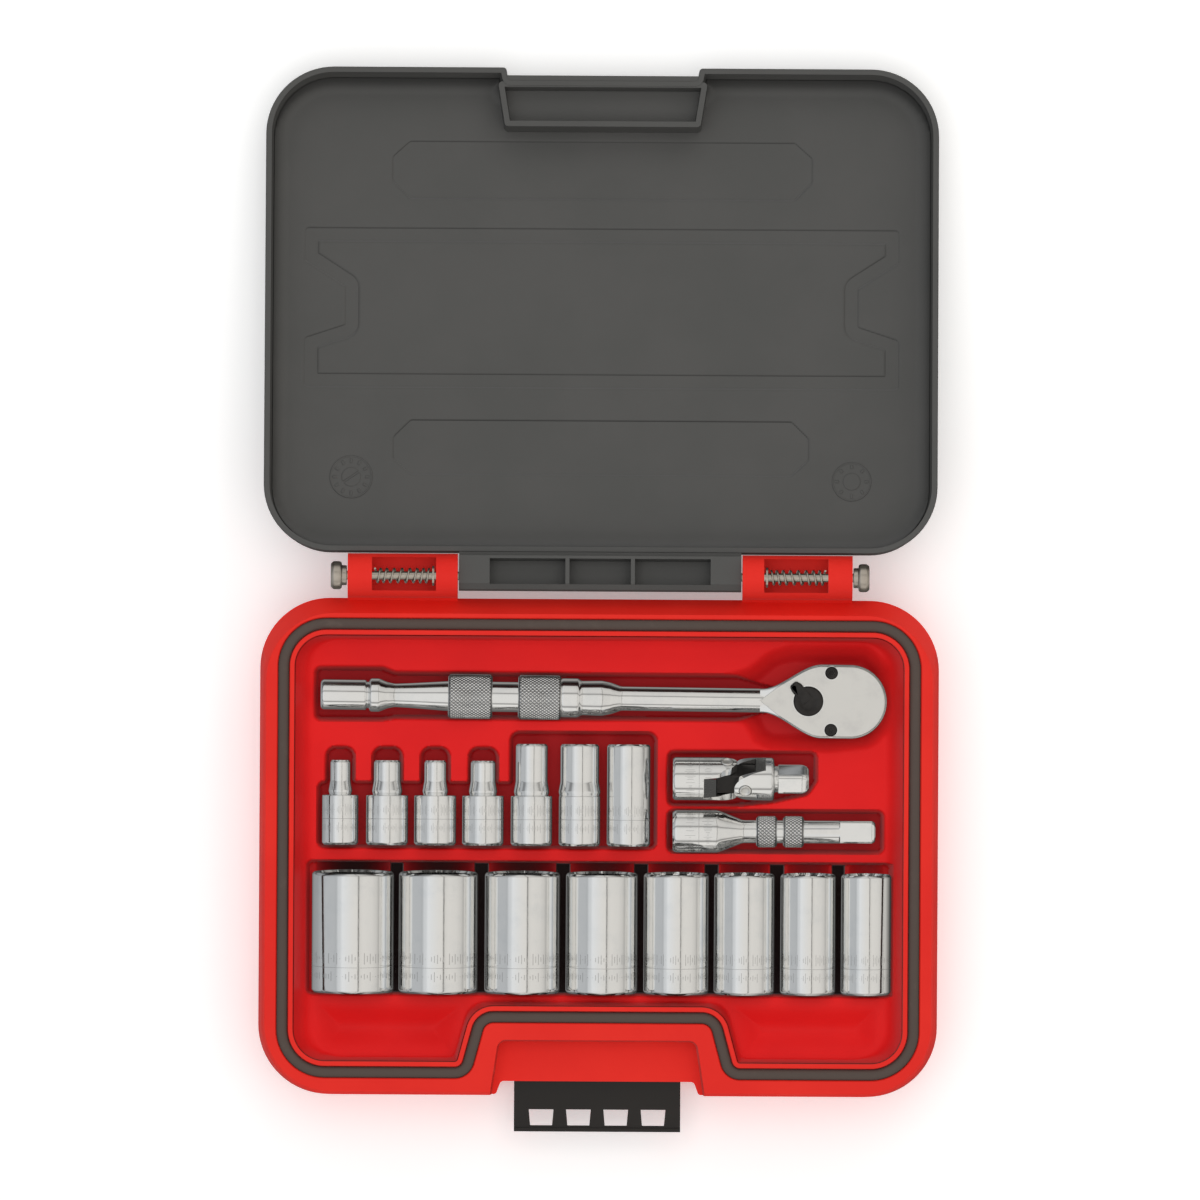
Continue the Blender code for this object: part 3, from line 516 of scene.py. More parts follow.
# The knurl's grooves take painted shade.
KNURL = metal("chrome_knurl", (1.0, 1.0, 0.99), (0.94, 0.94, 0.93), 0.22, 0.01, extra="crest")
SATIN = metal("satin_plate", (0.84, 0.83, 0.80), (0.76, 0.75, 0.73), 0.3, 0.01, (0.03, 1, 1), 0.12)
STEEL = metal("plain_steel", (0.60, 0.54, 0.47), (0.48, 0.42, 0.36), 0.3, 0.02, (1, 1, 1), 0.08)
OXIDE = metal("black_oxide", (0.055, 0.052, 0.05), (0.035, 0.033, 0.032), 0.38, 0.01, (1, 1, 1), 0.1)
print("metals ready")

# %% [markdown]
# ## Camera, floor and light
#
# The set is looked at from straight above with a very long lens. Bright metal shows whatever
# hangs over it, so the room is drawn as broad soft panels with narrow dark slots between them:
# they give every socket its long bright strips and its thin dark line. Two lamps above light
# the plastic and the floor, and don't show in the metal.

# %% Camera
SIGHT_HEIGHT = 12.0
SENSOR, FIELD_OF_VIEW = 36.0, 0.504
camera = bpy.data.objects.new("camera", bpy.data.cameras.new("camera"))
camera.data.sensor_width = SENSOR
camera.data.lens = SENSOR * SIGHT_HEIGHT / FIELD_OF_VIEW
camera.location = (0.0, 0.104, SIGHT_HEIGHT + 0.046)
camera.rotation_euler = (0.0, 0.0, math.radians(0.33))
bpy.context.scene.collection.objects.link(camera)
bpy.context.scene.camera = camera


# %% Floor
def floor_finish():
    """A pale matt sheet with a trace of unevenness."""
    f = Finish("studio_floor")
    patch = f.noise(120.0, 3.0)
    f.shader.inputs["Emission Color"].default_value = (1.0, 1.0, 1.0, 1.0)
    f.shader.inputs["Emission Strength"].default_value = 0.3
    return f.wear(Base_Color=f.mix(patch, (0.93, 0.93, 0.93), (0.95, 0.95, 0.95)), Roughness=0.9)


sheet = outline([(-2500, -2500), (2500, -2500), (2500, 2500), (-2500, 2500)], [300] * 4)
floor = shape("studio_floor", *skin([level(sheet, z) for z in (-6.0, -0.02)]))
floor.data.materials.append(floor_finish())
floor.visible_glossy = False


# %% Lights
def panel(name, at, aim, size, power):
    """A rectangular soft light at a place in metres, turned to face a point."""
    lamp = bpy.data.lights.new(name, "AREA")
    lamp.shape, lamp.size, lamp.size_y = "RECTANGLE", size[0], size[1]
    lamp.energy = power
    made = bpy.data.objects.new(name, lamp)
    way = np.asarray(aim, float) - np.asarray(at, float)
    made.location = at
    made.rotation_euler = Vector(way).to_track_quat("-Z", "Y").to_euler()
    made.visible_camera = False
    bpy.context.scene.collection.objects.link(made)
    return made


def bands(tree, angle, stops):
    """Grey values at angles in degrees, eased between; the angle comes in radians."""
    spread = sorted((degrees / 360 + 0.5, grey) for degrees, grey in stops)
    return tree.node("ShaderNodeValToRGB", {"stops": spread}, [angle / math.tau + 0.5])


# Brightness of the room by direction: left to right, then front to back.
ACROSS = [(-180, 0.06), (-145, 0.30), (-118, 0.36), (-98, 0.46), (-84, 0.50), (-54, 0.49)]
ACROSS += [(-47, 0.46), (-43, 0.64), (-36, 0.66), (-30, 0.79), (-8, 0.75), (14, 0.72)]
ACROSS += [(15, 0.10), (17, 0.10), (18, 0.66), (30, 0.71), (55, 0.68), (70, 0.60), (76, 0.52)]
ACROSS += [(78, 0.36), (80, 0.53), (100, 0.56), (118, 0.30), (145, 0.04), (180, 0.04)]
ALONG = [(-180, 0.10), (-125, 0.20), (-112, 0.25), (-98, 0.72), (-78, 1.05), (-63, 1.05)]
ALONG += [(-60, 0.45), (-53, 0.45), (-48, 0.95), (-40, 1.0), (12, 1.0), (20, 0.92)]
ALONG += [(24, 0.45), (29, 0.45), (33, 0.90), (52, 0.90), (70, 0.80), (80, 0.40), (92, 0.08)]
ALONG += [(112, 0.10), (126, 0.40), (140, 0.45), (160, 0.10), (180, 0.10)]


def studio_world():
    """A room of soft panels: brightness is a product of two bands of direction.

    Below the horizon only the band of the larger sideways part goes on past 90 degrees; the
    other takes the height as if it were above.
    """
    world = bpy.data.worlds.new("studio")
    world.use_nodes = True
    t = Tree(world.node_tree)
    direction = t.node("ShaderNodeTexCoord", {}, [], "Generated")
    x, y, z = (t.node("ShaderNodeSeparateXYZ", {}, [direction], k) for k in range(3))
    sideways = abs(x) > abs(y)
    height = {0: abs(z) + sideways * (z - abs(z)), 1: z - sideways * (z - abs(z))}
    across = bands(t, x.sum("ARCTAN2", x, height[0]), ACROSS)
    along = bands(t, y.sum("ARCTAN2", y, height[1]), ALONG)
    grey = across * along
    warm = (x + 0.3).ramp(-0.5, 0.6)
    tints = {0: warm, 6: (0.97, 1.0, 1.03, 1), 7: (1.03, 1.0, 0.95, 1)}
    tint = t.node("ShaderNodeMix", {"data_type": "RGBA"}, tints, 2)
    backdrop = world.node_tree.nodes["Background"]
    world.node_tree.links.new(tint.socket, backdrop.inputs["Color"])
    world.node_tree.links.new(grey.socket, backdrop.inputs["Strength"])
    bpy.context.scene.world = world


studio_world()
for name, at, size, power in (
    ("key_above", (0.0, 0.1, 1.5), (1.3, 1.3), 7.0),
    ("key_back", (0.3, 1.3, 1.3), (1.2, 0.8), 3.0),
):
    lamp = panel(name, at, (0, 0.05, 0), size, power)
    lamp.visible_glossy = False
bpy.context.scene.view_settings.view_transform = "Standard"
print("studio ready")

# %% [markdown]
# ## The tub
#
# The red base is a deep moulding: its wall flares, its rim is flat, a groove in the rim holds
# the seal and a ridge stands behind the groove. All that is one profile carried round the
# outline. The hinge housings, the low shelf behind the latch and the window that the latch
# turns in are joined on and cut out afterwards, and a bevel gives every edge the small radius
# that a steel mould leaves.

# %% Outlines of the case
BASE_HALF_W, BASE_FRONT, BASE_BACK = 142.6, -104.2, 104.3
RIM_HALF_W, RIM_BACK = 141.1, 99.1
RIM_Z, RIDGE_Z, TRAY_Z = 46.0, 47.3, 34.0
GROOVE_Z, LEDGE_Z, FLOOR_Z = 43.2, 25.7, 3.0
SEAL_HALF_T = 2.45
HINGE_Y, HINGE_Z, HINGE_R = 113.8, 46.0, 9.3
HINGE_IN, HINGE_OUT = 59.8, 106.0
SPRING_IN, SPRING_OUT = 68.9, 95.8
PIN_HOLE_R = 2.05
SHELF_Z = 33.0
CASE_RADII = [29.4, 1.6, 1.6, 1.6, 1.6, 29.4, 29.4, 29.4]


def case_outline(half_w, back, grow=0.0):
    """The outside of the base, with the latch notch in its front."""
    front = [(-half_w, BASE_FRONT), (-42.4, BASE_FRONT), (-40.4, BASE_FRONT + 5.5)]
    return outline(mirrored(front) + [(half_w, back), (-half_w, back)], CASE_RADII, grow, 18)


def seal_outline(grow=0.0, steps=18):
    """The seal's centre line, moved outwards by grow; it steps back behind the shelf."""
    left = [(-132.65, -94.9), (-55.4, -94.9), (-49.0, -71.4)]
    corners = mirrored(left) + [(132.65, 93.45), (-132.65, 93.45)]
    return outline(corners, [18, 6, 7, 7, 6, 18, 18, 18], grow, steps)


def tray_outline(steps=18):
    """The flat top of the tray, inside the slope that runs down from the ridge."""
    left = [(-119.5, -88.0), (-60.7, -88.0), (-54.3, -64.5)]
    corners = mirrored(left) + [(119.5, 86.6), (-119.5, 86.6)]
    return outline(corners, [12, 3, 9, 9, 3, 12, 10, 10], 0.0, steps)


# %% Tub
def tub():
    """The base from its foot over the rim and groove down to the inner floor."""

    def side(grow):
        return case_outline(BASE_HALF_W, BASE_BACK, grow)

    def rim(grow):
        return case_outline(RIM_HALF_W, RIM_BACK, grow)

    rings = [
        level(side(-4.0), 0.0),
        level(side(-1.6), 2.4),
        level(side(0.0), 38.5),
        level(rim(0.0), 44.6),
        level(rim(-1.2), RIM_Z),
        level(seal_outline(SEAL_HALF_T + 0.4), RIM_Z),
        level(seal_outline(SEAL_HALF_T), RIM_Z - 0.5),
        level(seal_outline(SEAL_HALF_T), GROOVE_Z),
        level(seal_outline(-SEAL_HALF_T), GROOVE_Z),
        level(seal_outline(-SEAL_HALF_T - 0.2), RIDGE_Z),
        level(seal_outline(-4.55), RIDGE_Z),
        level(seal_outline(-4.6), LEDGE_Z),
        level(seal_outline(-6.0), LEDGE_Z),
        level(seal_outline(-6.0), FLOOR_Z),
    ]
    return loft("case_tub", rings)


def housing(sign):
    """A lug over the hinge pin: a round top that runs down to the wall, pushed along X."""
    a = np.radians(np.linspace(0, 180, 31))
    arc = np.column_stack([HINGE_Y + HINGE_R * np.cos(a), HINGE_Z + HINGE_R * np.sin(a)])
    foot = np.array([(101.5, 29.0), (113.0, 29.0), (121.6, 36.0)])
    inner = np.array([(HINGE_Y - HINGE_R, 41.0), (101.5, 37.2)])
    flat = np.vstack([foot, arc, inner])
    ends = sorted((sign * HINGE_IN, sign * HINGE_OUT))
    return loft("housing", [np.column_stack([np.full(len(flat), x), flat]) for x in ends])


def rod(radius, low, high, centre, axis="X", count=48):
    """A plain cylinder, used as a cutter."""
    rings = spun([(radius, low), (radius, high)], count)
    rings = facing_x(rings) if axis == "X" else rings
    return loft("rod", rings + np.asarray(centre, float))


def shelf():
    """The low shelf in front, wider at the front than at the back."""
    foot = [(-45.6, -106.0), (45.6, -106.0), (41.9, -80.8), (-41.9, -80.8)]
    steps = ((-0.9, SHELF_Z), (0.1, 50.0))
    return loft("shelf", [level(outline(foot, [1, 1, 4, 4], g, 10), z) for g, z in steps])


case_tub = tub()
for sign in (-1, 1):
    low, high = sorted((sign * SPRING_IN, sign * SPRING_OUT))
    bore = sorted((sign * (HINGE_IN - 2), sign * (HINGE_OUT + 2)))
    carve(
        case_tub,
        ("UNION", housing(sign)),
        ("DIFFERENCE", block("spring_pocket", (low, 107.5, 39.4), (high, 121.6, 60.0))),
        ("DIFFERENCE", rod(PIN_HOLE_R, *bore, (0, HINGE_Y, HINGE_Z))),
    )
carve(
    case_tub,
    ("DIFFERENCE", shelf()),
    ("DIFFERENCE", block("latch_window", (-36.2, -106.0, 16.4), (36.2, -91.4, 30.6))),
)
soften(case_tub, 0.6)
finished(case_tub, RED, "case", ["base_shell"]).visible_glossy = False

# %% [markdown]
# ## The seal
#
# A round-topped rubber strip lies in the groove. It could be a curve with a bevel, but the
# strip has to fill the groove on both sides, so its section is given as an offset from the
# centre line and a height, and carried round the same outline as the groove.

# %% Seal
t = np.linspace(0, math.pi, 13)
section = np.column_stack([2.2 * np.cos(t), 44.9 + 1.5 * np.sin(t) ** 0.8])
section = np.vstack([[(2.2, 43.5)], section, [(-2.2, 43.5)]])
seal = loft("seal", [level(seal_outline(g, 22), z) for g, z in section], closed=True)
smooth(seal, 50)
finished(seal, RUBBER, "case", ["gasket"])

# %% [markdown]
# ## The tray
#
# The insert is one sheet formed with a pocket for every tool. Seen as a surface it is a height
# over each point of the plan, so it is worked out as a height field: start at the tray's top,
# slope up to the ridge near the edge, and sink each pocket by how far a point lies inside the
# pocket's outline. The distance to an outline is the shortest distance to its straight pieces,
# counted negative inside. A field this size has too many faces for one piece, so it is
# split in three strips along the flat webs between the rows.


# %% Distance to an outline
def distance(x, y, flat):
    """Signed distance from points to a closed outline, negative inside.

    Each straight piece from p to q is nearest at p + s (q - p), s held between 0 and 1. A point
    is inside when a line from it crosses the outline an odd number of times.
    """
    best = np.full(x.shape, 1e9)
    inside = np.zeros(x.shape, bool)
    for (px, py), (qx, qy) in zip(flat, np.roll(flat, -1, axis=0)):
        dx, dy = qx - px, qy - py
        span = dx * dx + dy * dy
        if span < 1e-12:
            continue
        s = np.clip(((x - px) * dx + (y - py) * dy) / span, 0, 1)
        best = np.minimum(best, (x - px - s * dx) ** 2 + (y - py - s * dy) ** 2)
        if abs(dy) > 1e-9:
            crosses = ((py <= y) & (y < qy)) | ((qy <= y) & (y < py))
            inside ^= crosses & (x < px + (y - py) * dx / dy)
    return np.sqrt(best) * np.where(inside, -1, 1)


def ease(t):
    """A smooth step from 0 to 1: 3 t^2 - 2 t^3."""
    t = np.clip(t, 0, 1)
    return t * t * (3 - 2 * t)


# %% Pockets
SHORT_FLOOR = 25.0


def short_pocket():
    """The pocket of the short sockets, with an arched bay for each of the first four."""
    corners = [(-118.4, -0.8), (24.4, -0.8), (24.4, 48.6), (-37.6, 48.6), (-37.6, 27.3)]
    radii = [3, 3, 4, 4, 0.8]
    for x, width in ((-48.7, 12.8), (-68.9, 12.6), (-89.0, 13.0), (-108.8, 12.6)):
        right, left = x + width / 2, x - width / 2
        corners += [(right, 27.3), (right, 42.0), (left, 42.0), (left, 27.3)]
        radii += [0.8, 4.5, 4.5, 0.8]
    return corners + [(-118.4, 27.3)], radii + [3]


CHANNEL = [(-120.0, 52.6), (-91.0, 52.6), (-86.0, 53.4), (58.0, 53.2), (86.0, 58.6)]
CHANNEL += [(86.0, 66.0), (58.0, 73.2), (-86.0, 73.6), (-91.0, 75.6), (-120.0, 75.6)]
SCOOP = [(52.0, 53.0), (60.5, 51.4), (64.5, 43.9), (71.0, 40.4), (96.0, 39.8), (116.0, 42.0)]
SCOOP += [(122.6, 50.0), (122.6, 77.0), (114.0, 86.4), (80.0, 86.4), (70.5, 83.6), (62.5, 76.8)]
SCOOP += [(52.0, 73.4)]
JOINT = [(28.6, 17.4), (57.0, 17.4), (74.0, 19.2), (88.0, 22.4), (91.8, 28.0), (91.8, 41.0)]
JOINT += [(28.6, 41.0)]
BAR = [(28.6, -2.2), (120.0, -2.2), (120.0, 16.2), (28.6, 16.2)]
DEEP_POCKET = [(-122.6, -62.4), (123.2, -62.4), (123.2, -6.0), (-122.6, -6.0)]
SPARE = [(-118.4, -87.0), (-61.4, -87.0), (-55.6, -65.6), (-118.4, -65.6)]
SPARE_RIGHT = [(-x, y) for x, y in reversed(SPARE)]

# Outline, corner radii, floor height and the width over which the wall falls.
POCKETS = [
    (CHANNEL, [3, 4, 6, 12, 3, 3, 12, 6, 4, 3], 24.2, 2.0),
    (SCOOP, [1, 3, 4, 4, 20, 12, 10, 10, 10, 12, 14, 14, 1], 26.2, 8.5),
    (*short_pocket(), SHORT_FLOOR, 1.4),
    (JOINT, [3, 12, 20, 5, 3, 3, 3], 24.6, 1.6),
    (BAR, [3] * 4, 24.6, 1.6),
    (DEEP_POCKET, [2.5] * 4, 27.0, 1.3),
    (SPARE, [9, 3, 3, 3], 29.6, 11.0),
    (SPARE_RIGHT, [3, 3, 3, 9], 29.6, 11.0),
]

# Deep sockets, largest first: centre and body radius. They lie on a slight slope.
DEEP = [(-103.1, 17.2), (-67.2, 16.6), (-31.9, 15.8), (1.5, 15.1)]
DEEP += [(32.8, 13.7), (61.4, 12.7), (88.2, 11.6), (112.6, 10.5)]
DEEP_Y, DEEP_Z, DEEP_TILT, DEEP_LENGTH = -61.2, 32.6, 3.0, 50.4
HEAD_AT = (104.5, 61.8)
HEAD_HOLE_R, HOLE_TOP, HOLE_FLOOR = 13.0, 26.0, 12.2
GAP_FLOOR = 17.0


# %% Height of the tray
def tray_height(x, y):
    """Height over the plan: the slope from the ridge, then the lowest of all pockets."""
    inner = -distance(x, y, seal_outline(-4.9, 10))
    outer = distance(x, y, tray_outline(10))
    inner, outer = np.clip(inner, 0, None), np.clip(outer, 0, None)
    share = inner / np.maximum(inner + outer, 1e-6)
    height = TRAY_Z + (RIDGE_Z - 0.6 - TRAY_Z) * (1 - share) ** 2.3
    start = height.copy()
    for corners, radii, floor_z, width in POCKETS:
        deep = -distance(x, y, outline(corners, radii, 0.0, 8))
        fall = ease((deep + 0.45) / (width + 0.45))
        height = np.minimum(height, start + (floor_z - start) * fall)
    away = np.hypot(x - HEAD_AT[0], y - HEAD_AT[1])
    hole = HOLE_TOP + (HOLE_FLOOR - HOLE_TOP) * ease((HEAD_HOLE_R - away) / 1.2)
    height = np.minimum(height, hole + 30 * (away > HEAD_HOLE_R))
    along = (y - DEEP_Y) / math.cos(math.radians(DEEP_TILT))
    axis_z = DEEP_Z + (y - DEEP_Y) * math.tan(math.radians(DEEP_TILT))
    between = (x > DEEP[0][0]) & (x < DEEP[-1][0]) & (y > -61.6) & (y < -6.8)
    for centre, radius in DEEP:
        between &= abs(x - centre) > radius - 1.6
    height = np.where(between, GAP_FLOOR, height)
    for centre, radius in DEEP:
        seat = radius + 0.5
        across = np.clip(abs(x - centre) / seat, 0, 1)
        bowl = axis_z - seat * np.sqrt(1 - across**2)
        held = (abs(x - centre) < seat) & (along > -0.9) & (y < -6.6)
        height = np.where(held, np.minimum(height, bowl), height)
    return height


# %% Slab under a height field
def slab(name, x, y, edge, height, base, limits=None):
    """The solid between a height field and a flat underside, kept within an outline.

    Grid points beyond the outline are pulled back onto it along the distance's slope; cells
    that lie wholly outside are left out. A skirt and a flat underside close the solid.
    """
    far = distance(x, y, edge)
    e = 0.02
    gx = (distance(x + e, y, edge) - distance(x - e, y, edge)) / (2 * e)
    gy = (distance(x, y + e, edge) - distance(x, y - e, edge)) / (2 * e)
    pull = np.clip(far, 0, None)
    x, y = x - pull * gx, y - pull * gy
    if limits:
        y = np.clip(y, *limits)
    index = np.arange(x.size).reshape(x.shape)
    cells = np.stack([index[:-1, :-1], index[:-1, 1:], index[1:, 1:], index[1:, :-1]], -1)
    lost = (far > 0).ravel()[cells].all(axis=-1)
    points = np.stack([x, y, height(x, y)], axis=-1).reshape(-1, 3)
    made = bpy.data.meshes.new(name)
    made.from_pydata((points * MM).tolist(), [], cells[~lost].reshape(-1, 4).tolist())
    work = bmesh.new()
    work.from_mesh(made)
    bmesh.ops.delete(work, geom=[v for v in work.verts if not v.link_faces], context="VERTS")
    bmesh.ops.remove_doubles(work, verts=work.verts, dist=2e-6)
    bmesh.ops.dissolve_degenerate(work, edges=work.edges, dist=1e-6)
    border = [side for side in work.edges if side.is_boundary]
    grown = bmesh.ops.extrude_edge_only(work, edges=border)["geom"]
    for v in (g for g in grown if isinstance(g, bmesh.types.BMVert)):
        v.co.z = base * MM
    open_edges = [g for g in grown if isinstance(g, bmesh.types.BMEdge) and g.is_boundary]
    bmesh.ops.holes_fill(work, edges=open_edges, sides=0)
    bmesh.ops.recalc_face_normals(work, faces=work.faces)
    work.to_mesh(made)
    work.free()
    result = bpy.data.objects.new(name, made)
    bpy.context.scene.collection.objects.link(result)
    return smooth(result, 60)


# %% Tray strips
TRAY_HALF_W, TRAY_BASE, TRAY_STEP = 128.2, 10.4, 0.52


def tray_strip(name, low_y, high_y):
    """The part of the tray between two lines across it."""
    wide, deep = (int(span / TRAY_STEP) + 1 for span in (2 * TRAY_HALF_W, high_y - low_y))
    x, y = np.meshgrid(np.linspace(-TRAY_HALF_W, TRAY_HALF_W, wide), np.linspace(low_y, high_y, deep))
    edge = seal_outline(-4.95, 14)
    return slab(name, x, y, edge, tray_height, TRAY_BASE, (low_y, high_y))


strips = [("tray_front", -93.0, -3.6), ("tray_middle", -3.6, 50.6), ("tray_back", 50.6, 92.0)]
for number, (name, low_y, high_y) in enumerate(strips):
    strip = tray_strip(name, low_y, high_y)
    strip.visible_glossy = False
    finished(strip, RED_TRAY, "case", ["tray_insert"] if number == 0 else [])

# %% [markdown]
# ## The lid
#
# The lid is a shallow grey pan that lies back on its far edge. It is drawn square on, as width,
# distance from the hinge and height over the rim, and one turn about the hinge pin puts every
# point in place. The pan is lofted like the tub. Its floor carries shallow pressed panels and a
# broad cove to the wall, which a Boolean would leave sharp, so the floor is a height field too.

# %% Lid frame
LID_HALF_W, LID_NEAR, LID_FAR, LID_DEPTH = 141.6, 10.2, 216.0, 20.0
LID_FLOOR, LID_RIM = -17.2, -0.3
LID_TILT = math.asin((HINGE_Z - 0.9923 * LID_DEPTH - 0.05) / (LID_FAR - 5.0))


def in_lid(points):
    """Points given as width, distance u and height v, turned by the lid's tilt.

    y = hinge + u cos t + v sin t and z = hinge - u sin t + v cos t.
    """
    p = np.asarray(points, float)
    c, s = math.cos(LID_TILT), math.sin(LID_TILT)
    y = HINGE_Y + p[..., 1] * c + p[..., 2] * s
    z = HINGE_Z - p[..., 1] * s + p[..., 2] * c
    return np.stack([p[..., 0], y, z], axis=-1)


def place(made, way):
    """Moves an object's own points by a function of points in millimetres."""
    count = len(made.data.vertices)
    flat = np.zeros(count * 3)
    made.data.vertices.foreach_get("co", flat)
    moved = way(flat.reshape(-1, 3) / MM) * MM
    made.data.vertices.foreach_set("co", moved.astype(np.float32).ravel())
    made.data.update()
    return made


def lid_outline(grow=0.0, steps=18):
    """The lid seen square on, with the latch notch at its far edge."""
    notch = [(LID_HALF_W, LID_FAR), (40.8, LID_FAR), (39.8, LID_FAR - 5.3)]
    points = mirrored(notch) + [(-LID_HALF_W, LID_NEAR), (LID_HALF_W, LID_NEAR)]
    return outline(points, [28.6, 1.5, 1.5, 1.5, 1.5, 28.6, 28.6, 28.6], grow, steps)


# %% Lid pan
def lid_pan():
    """The pan with its latch frame, latch bar and the block of three hinge pockets."""
    profile = [(-5.0, -LID_DEPTH), (-1.6, -17.6), (0.0, LID_RIM - 1.0), (-0.4, LID_RIM)]
    profile += [(-2.4, LID_RIM), (-3.3, -12.0), (-6.0, LID_FLOOR - 0.5)]
    pan = loft("lid_pan", [level(lid_outline(g), v) for g, v in profile])
    frame_foot = [(-41.4, 190.6), (41.4, 190.6), (44.6, 210.4), (-44.6, 210.4)]

    def frame_level(grow, v):
        return level(outline(frame_foot, [2] * 4, grow, 8), v)

    knuckle = [(-5.9, -3.5), (-3.6, -6.0), (12.6, -6.0), (12.6, -0.7)]
    knuckle += [(9.0, -0.7), (8.2, 5.2), (-3.6, 5.2), (-5.9, 2.8)]
    knuckle = np.array(knuckle)
    ends = [np.column_stack([np.full(len(knuckle), x), knuckle]) for x in (-59.3, 59.3)]
    steps = [
        ("UNION", loft("latch_frame", [frame_level(-0.2, -18.2), frame_level(-0.4, -0.6)])),
        ("DIFFERENCE", loft("latch_hollow", [frame_level(-3.2, -9.0), frame_level(-2.4, 4.0)])),
        ("UNION", block("latch_bar", (-40.4, 209.8, -2.0), (40.4, 212.6, -0.6))),
        ("UNION", loft("hinge_block", ends)),
    ]
    for low, high in ((-46.4, -14.6), (-12.9, 12.9), (14.6, 46.4)):
        steps.append(("DIFFERENCE", block("hinge_pocket", (low, -3.9, -4.2), (high, 7.0, 12.0))))
    for low, high in ((-62.0, -47.6), (47.6, 62.0)):
        steps.append(("DIFFERENCE", rod(PIN_HOLE_R, low, high, (0, 0, 0))))
    return soften(carve(pan, *steps), 0.5)


lid_piece = place(lid_pan(), in_lid)
finished(lid_piece, GREY, "lid", ["lid_shell"])

# %% Lid panels
FAR_PANEL = [(-88, 170), (-81, 162.7), (81, 162.7), (88, 170)]
FAR_PANEL += [(88, 180), (81, 186.3), (-81, 186.3), (-88, 180)]
NEAR_PANEL = [(-87, 52), (-80, 45.6), (80, 45.6), (87, 52)]
NEAR_PANEL += [(87, 61), (80, 67.9), (-80, 67.9), (-87, 61)]
BAY = [(124.8, 82.5), (124.8, 102.7), (107.6, 108.4), (107.6, 124.9), (124.8, 136.1), (124.8, 149.4)]
MIDDLE_PANEL = BAY + [(-x, y) for x, y in reversed(BAY)]


def lid_relief(x, u):
    """Height of the lid's floor: a cove at the wall, two sunk panels and a sunk frame.

    A cove of radius R rises by R - sqrt(R^2 - (R - d)^2) at distance d from the wall.
    """
    inside = -distance(x, u, lid_outline(-3.5, 10))
    reach = 6.5
    near_wall = np.clip(reach - inside, 0, reach)
    height = LID_FLOOR + reach - np.sqrt(reach**2 - near_wall**2)
    for panel_outline in (FAR_PANEL, NEAR_PANEL):
        deep = -distance(x, u, outline(panel_outline, [1.5] * 8, 0.0, 4))
        height = height - 1.4 * ease(deep / 1.2 + 0.5)
    deep = -distance(x, u, outline(MIDDLE_PANEL, [1.2] * 12, 0.0, 4))
    groove = ease(deep / 1.5 + 0.5) - ease((deep - 5.0) / 1.6 + 0.5)
    return height - 1.2 * groove


# %% Lid floor
FLOOR_STEP = 0.7
edge = lid_outline(-3.5, 12)
low, high = edge.min(axis=0), edge.max(axis=0)
count = np.ceil((high - low) / FLOOR_STEP).astype(int) + 1
x, u = np.meshgrid(np.linspace(low[0], high[0], count[0]), np.linspace(low[1], high[1], count[1]))
lid_floor = slab("lid_floor", x, u, edge, lid_relief, LID_FLOOR - 1.7)
x, u, _ = points_of(lid_floor).T
# The slope across the floor is stored for the painted shade and highlight of its sunk lines.
keep(lid_floor, "slope", (lid_relief(x, u + 0.3) - lid_relief(x, u - 0.3)) / 0.6)
finished(place(lid_floor, in_lid), GREY, "lid")


# %% [markdown]
# ## Moulded marks
#
# A mould often leaves a round dial near a corner, by which the maker reads when a piece was
# shot. Here both are plain: a ring, ticks and a centre hub; the left dial has twelve ticks and
# a slotted hub, the right one eight ticks and a whole hub. Each is a small disc whose height
# depends on radius and angle.


# %% Marks
def mark(name, centre, radius, ticks, slot):
    """A disc in polar steps: height is the sum of a ring, ticks between two radii and a hub."""
    r = np.linspace(0.02, 1.0, 44)[:, None] * radius
    a = np.arange(288)[None, :] * math.tau / 288
    ring = np.exp(-(((r - 0.94 * radius) / 0.35) ** 2))
    turn = abs((a * ticks / math.tau + 0.5) % 1 - 0.5) * math.tau / ticks * r
    between = ease((r - 0.62 * radius) / 0.4) * ease((0.86 * radius - r) / 0.4)
    tick = ease((0.75 - turn) / 0.45) * between
    hub = ease((0.45 * radius - r) / 0.4) * (1 - slot * ease((0.55 - abs(r * np.sin(a - 0.6))) / 0.3))
    height = 0.04 + 0.34 * np.maximum(np.maximum(ring, tick), hub)
    height[-1] = -0.6
    rings = np.stack([r * np.cos(a), r * np.sin(a), height + 0 * a], axis=-1)
    rings = rings + np.array([centre[0], centre[1], LID_FLOOR])
    made = smooth(loft(name, in_lid(rings)), 60)
    return finished(made, GREY, "lid")


mark("lid_dial_left", (-105.0, 43.9), 9.3, 12, 1)
mark("lid_dial_right", (105.6, 43.0), 8.5, 8, 0)

# %% [markdown]
# ## Latch
#
# The latch is a stiff black moulding that turns on a rod behind the shelf. Its plate is pierced
# by four windows, and a lip at its end hooks over the lid. A section pushed across the width
# gives the body, and the windows are cut through it.


# %% Latch
LATCH_Y, LATCH_Z, LATCH_HALF_W = -95.0, 25.0, 35.0


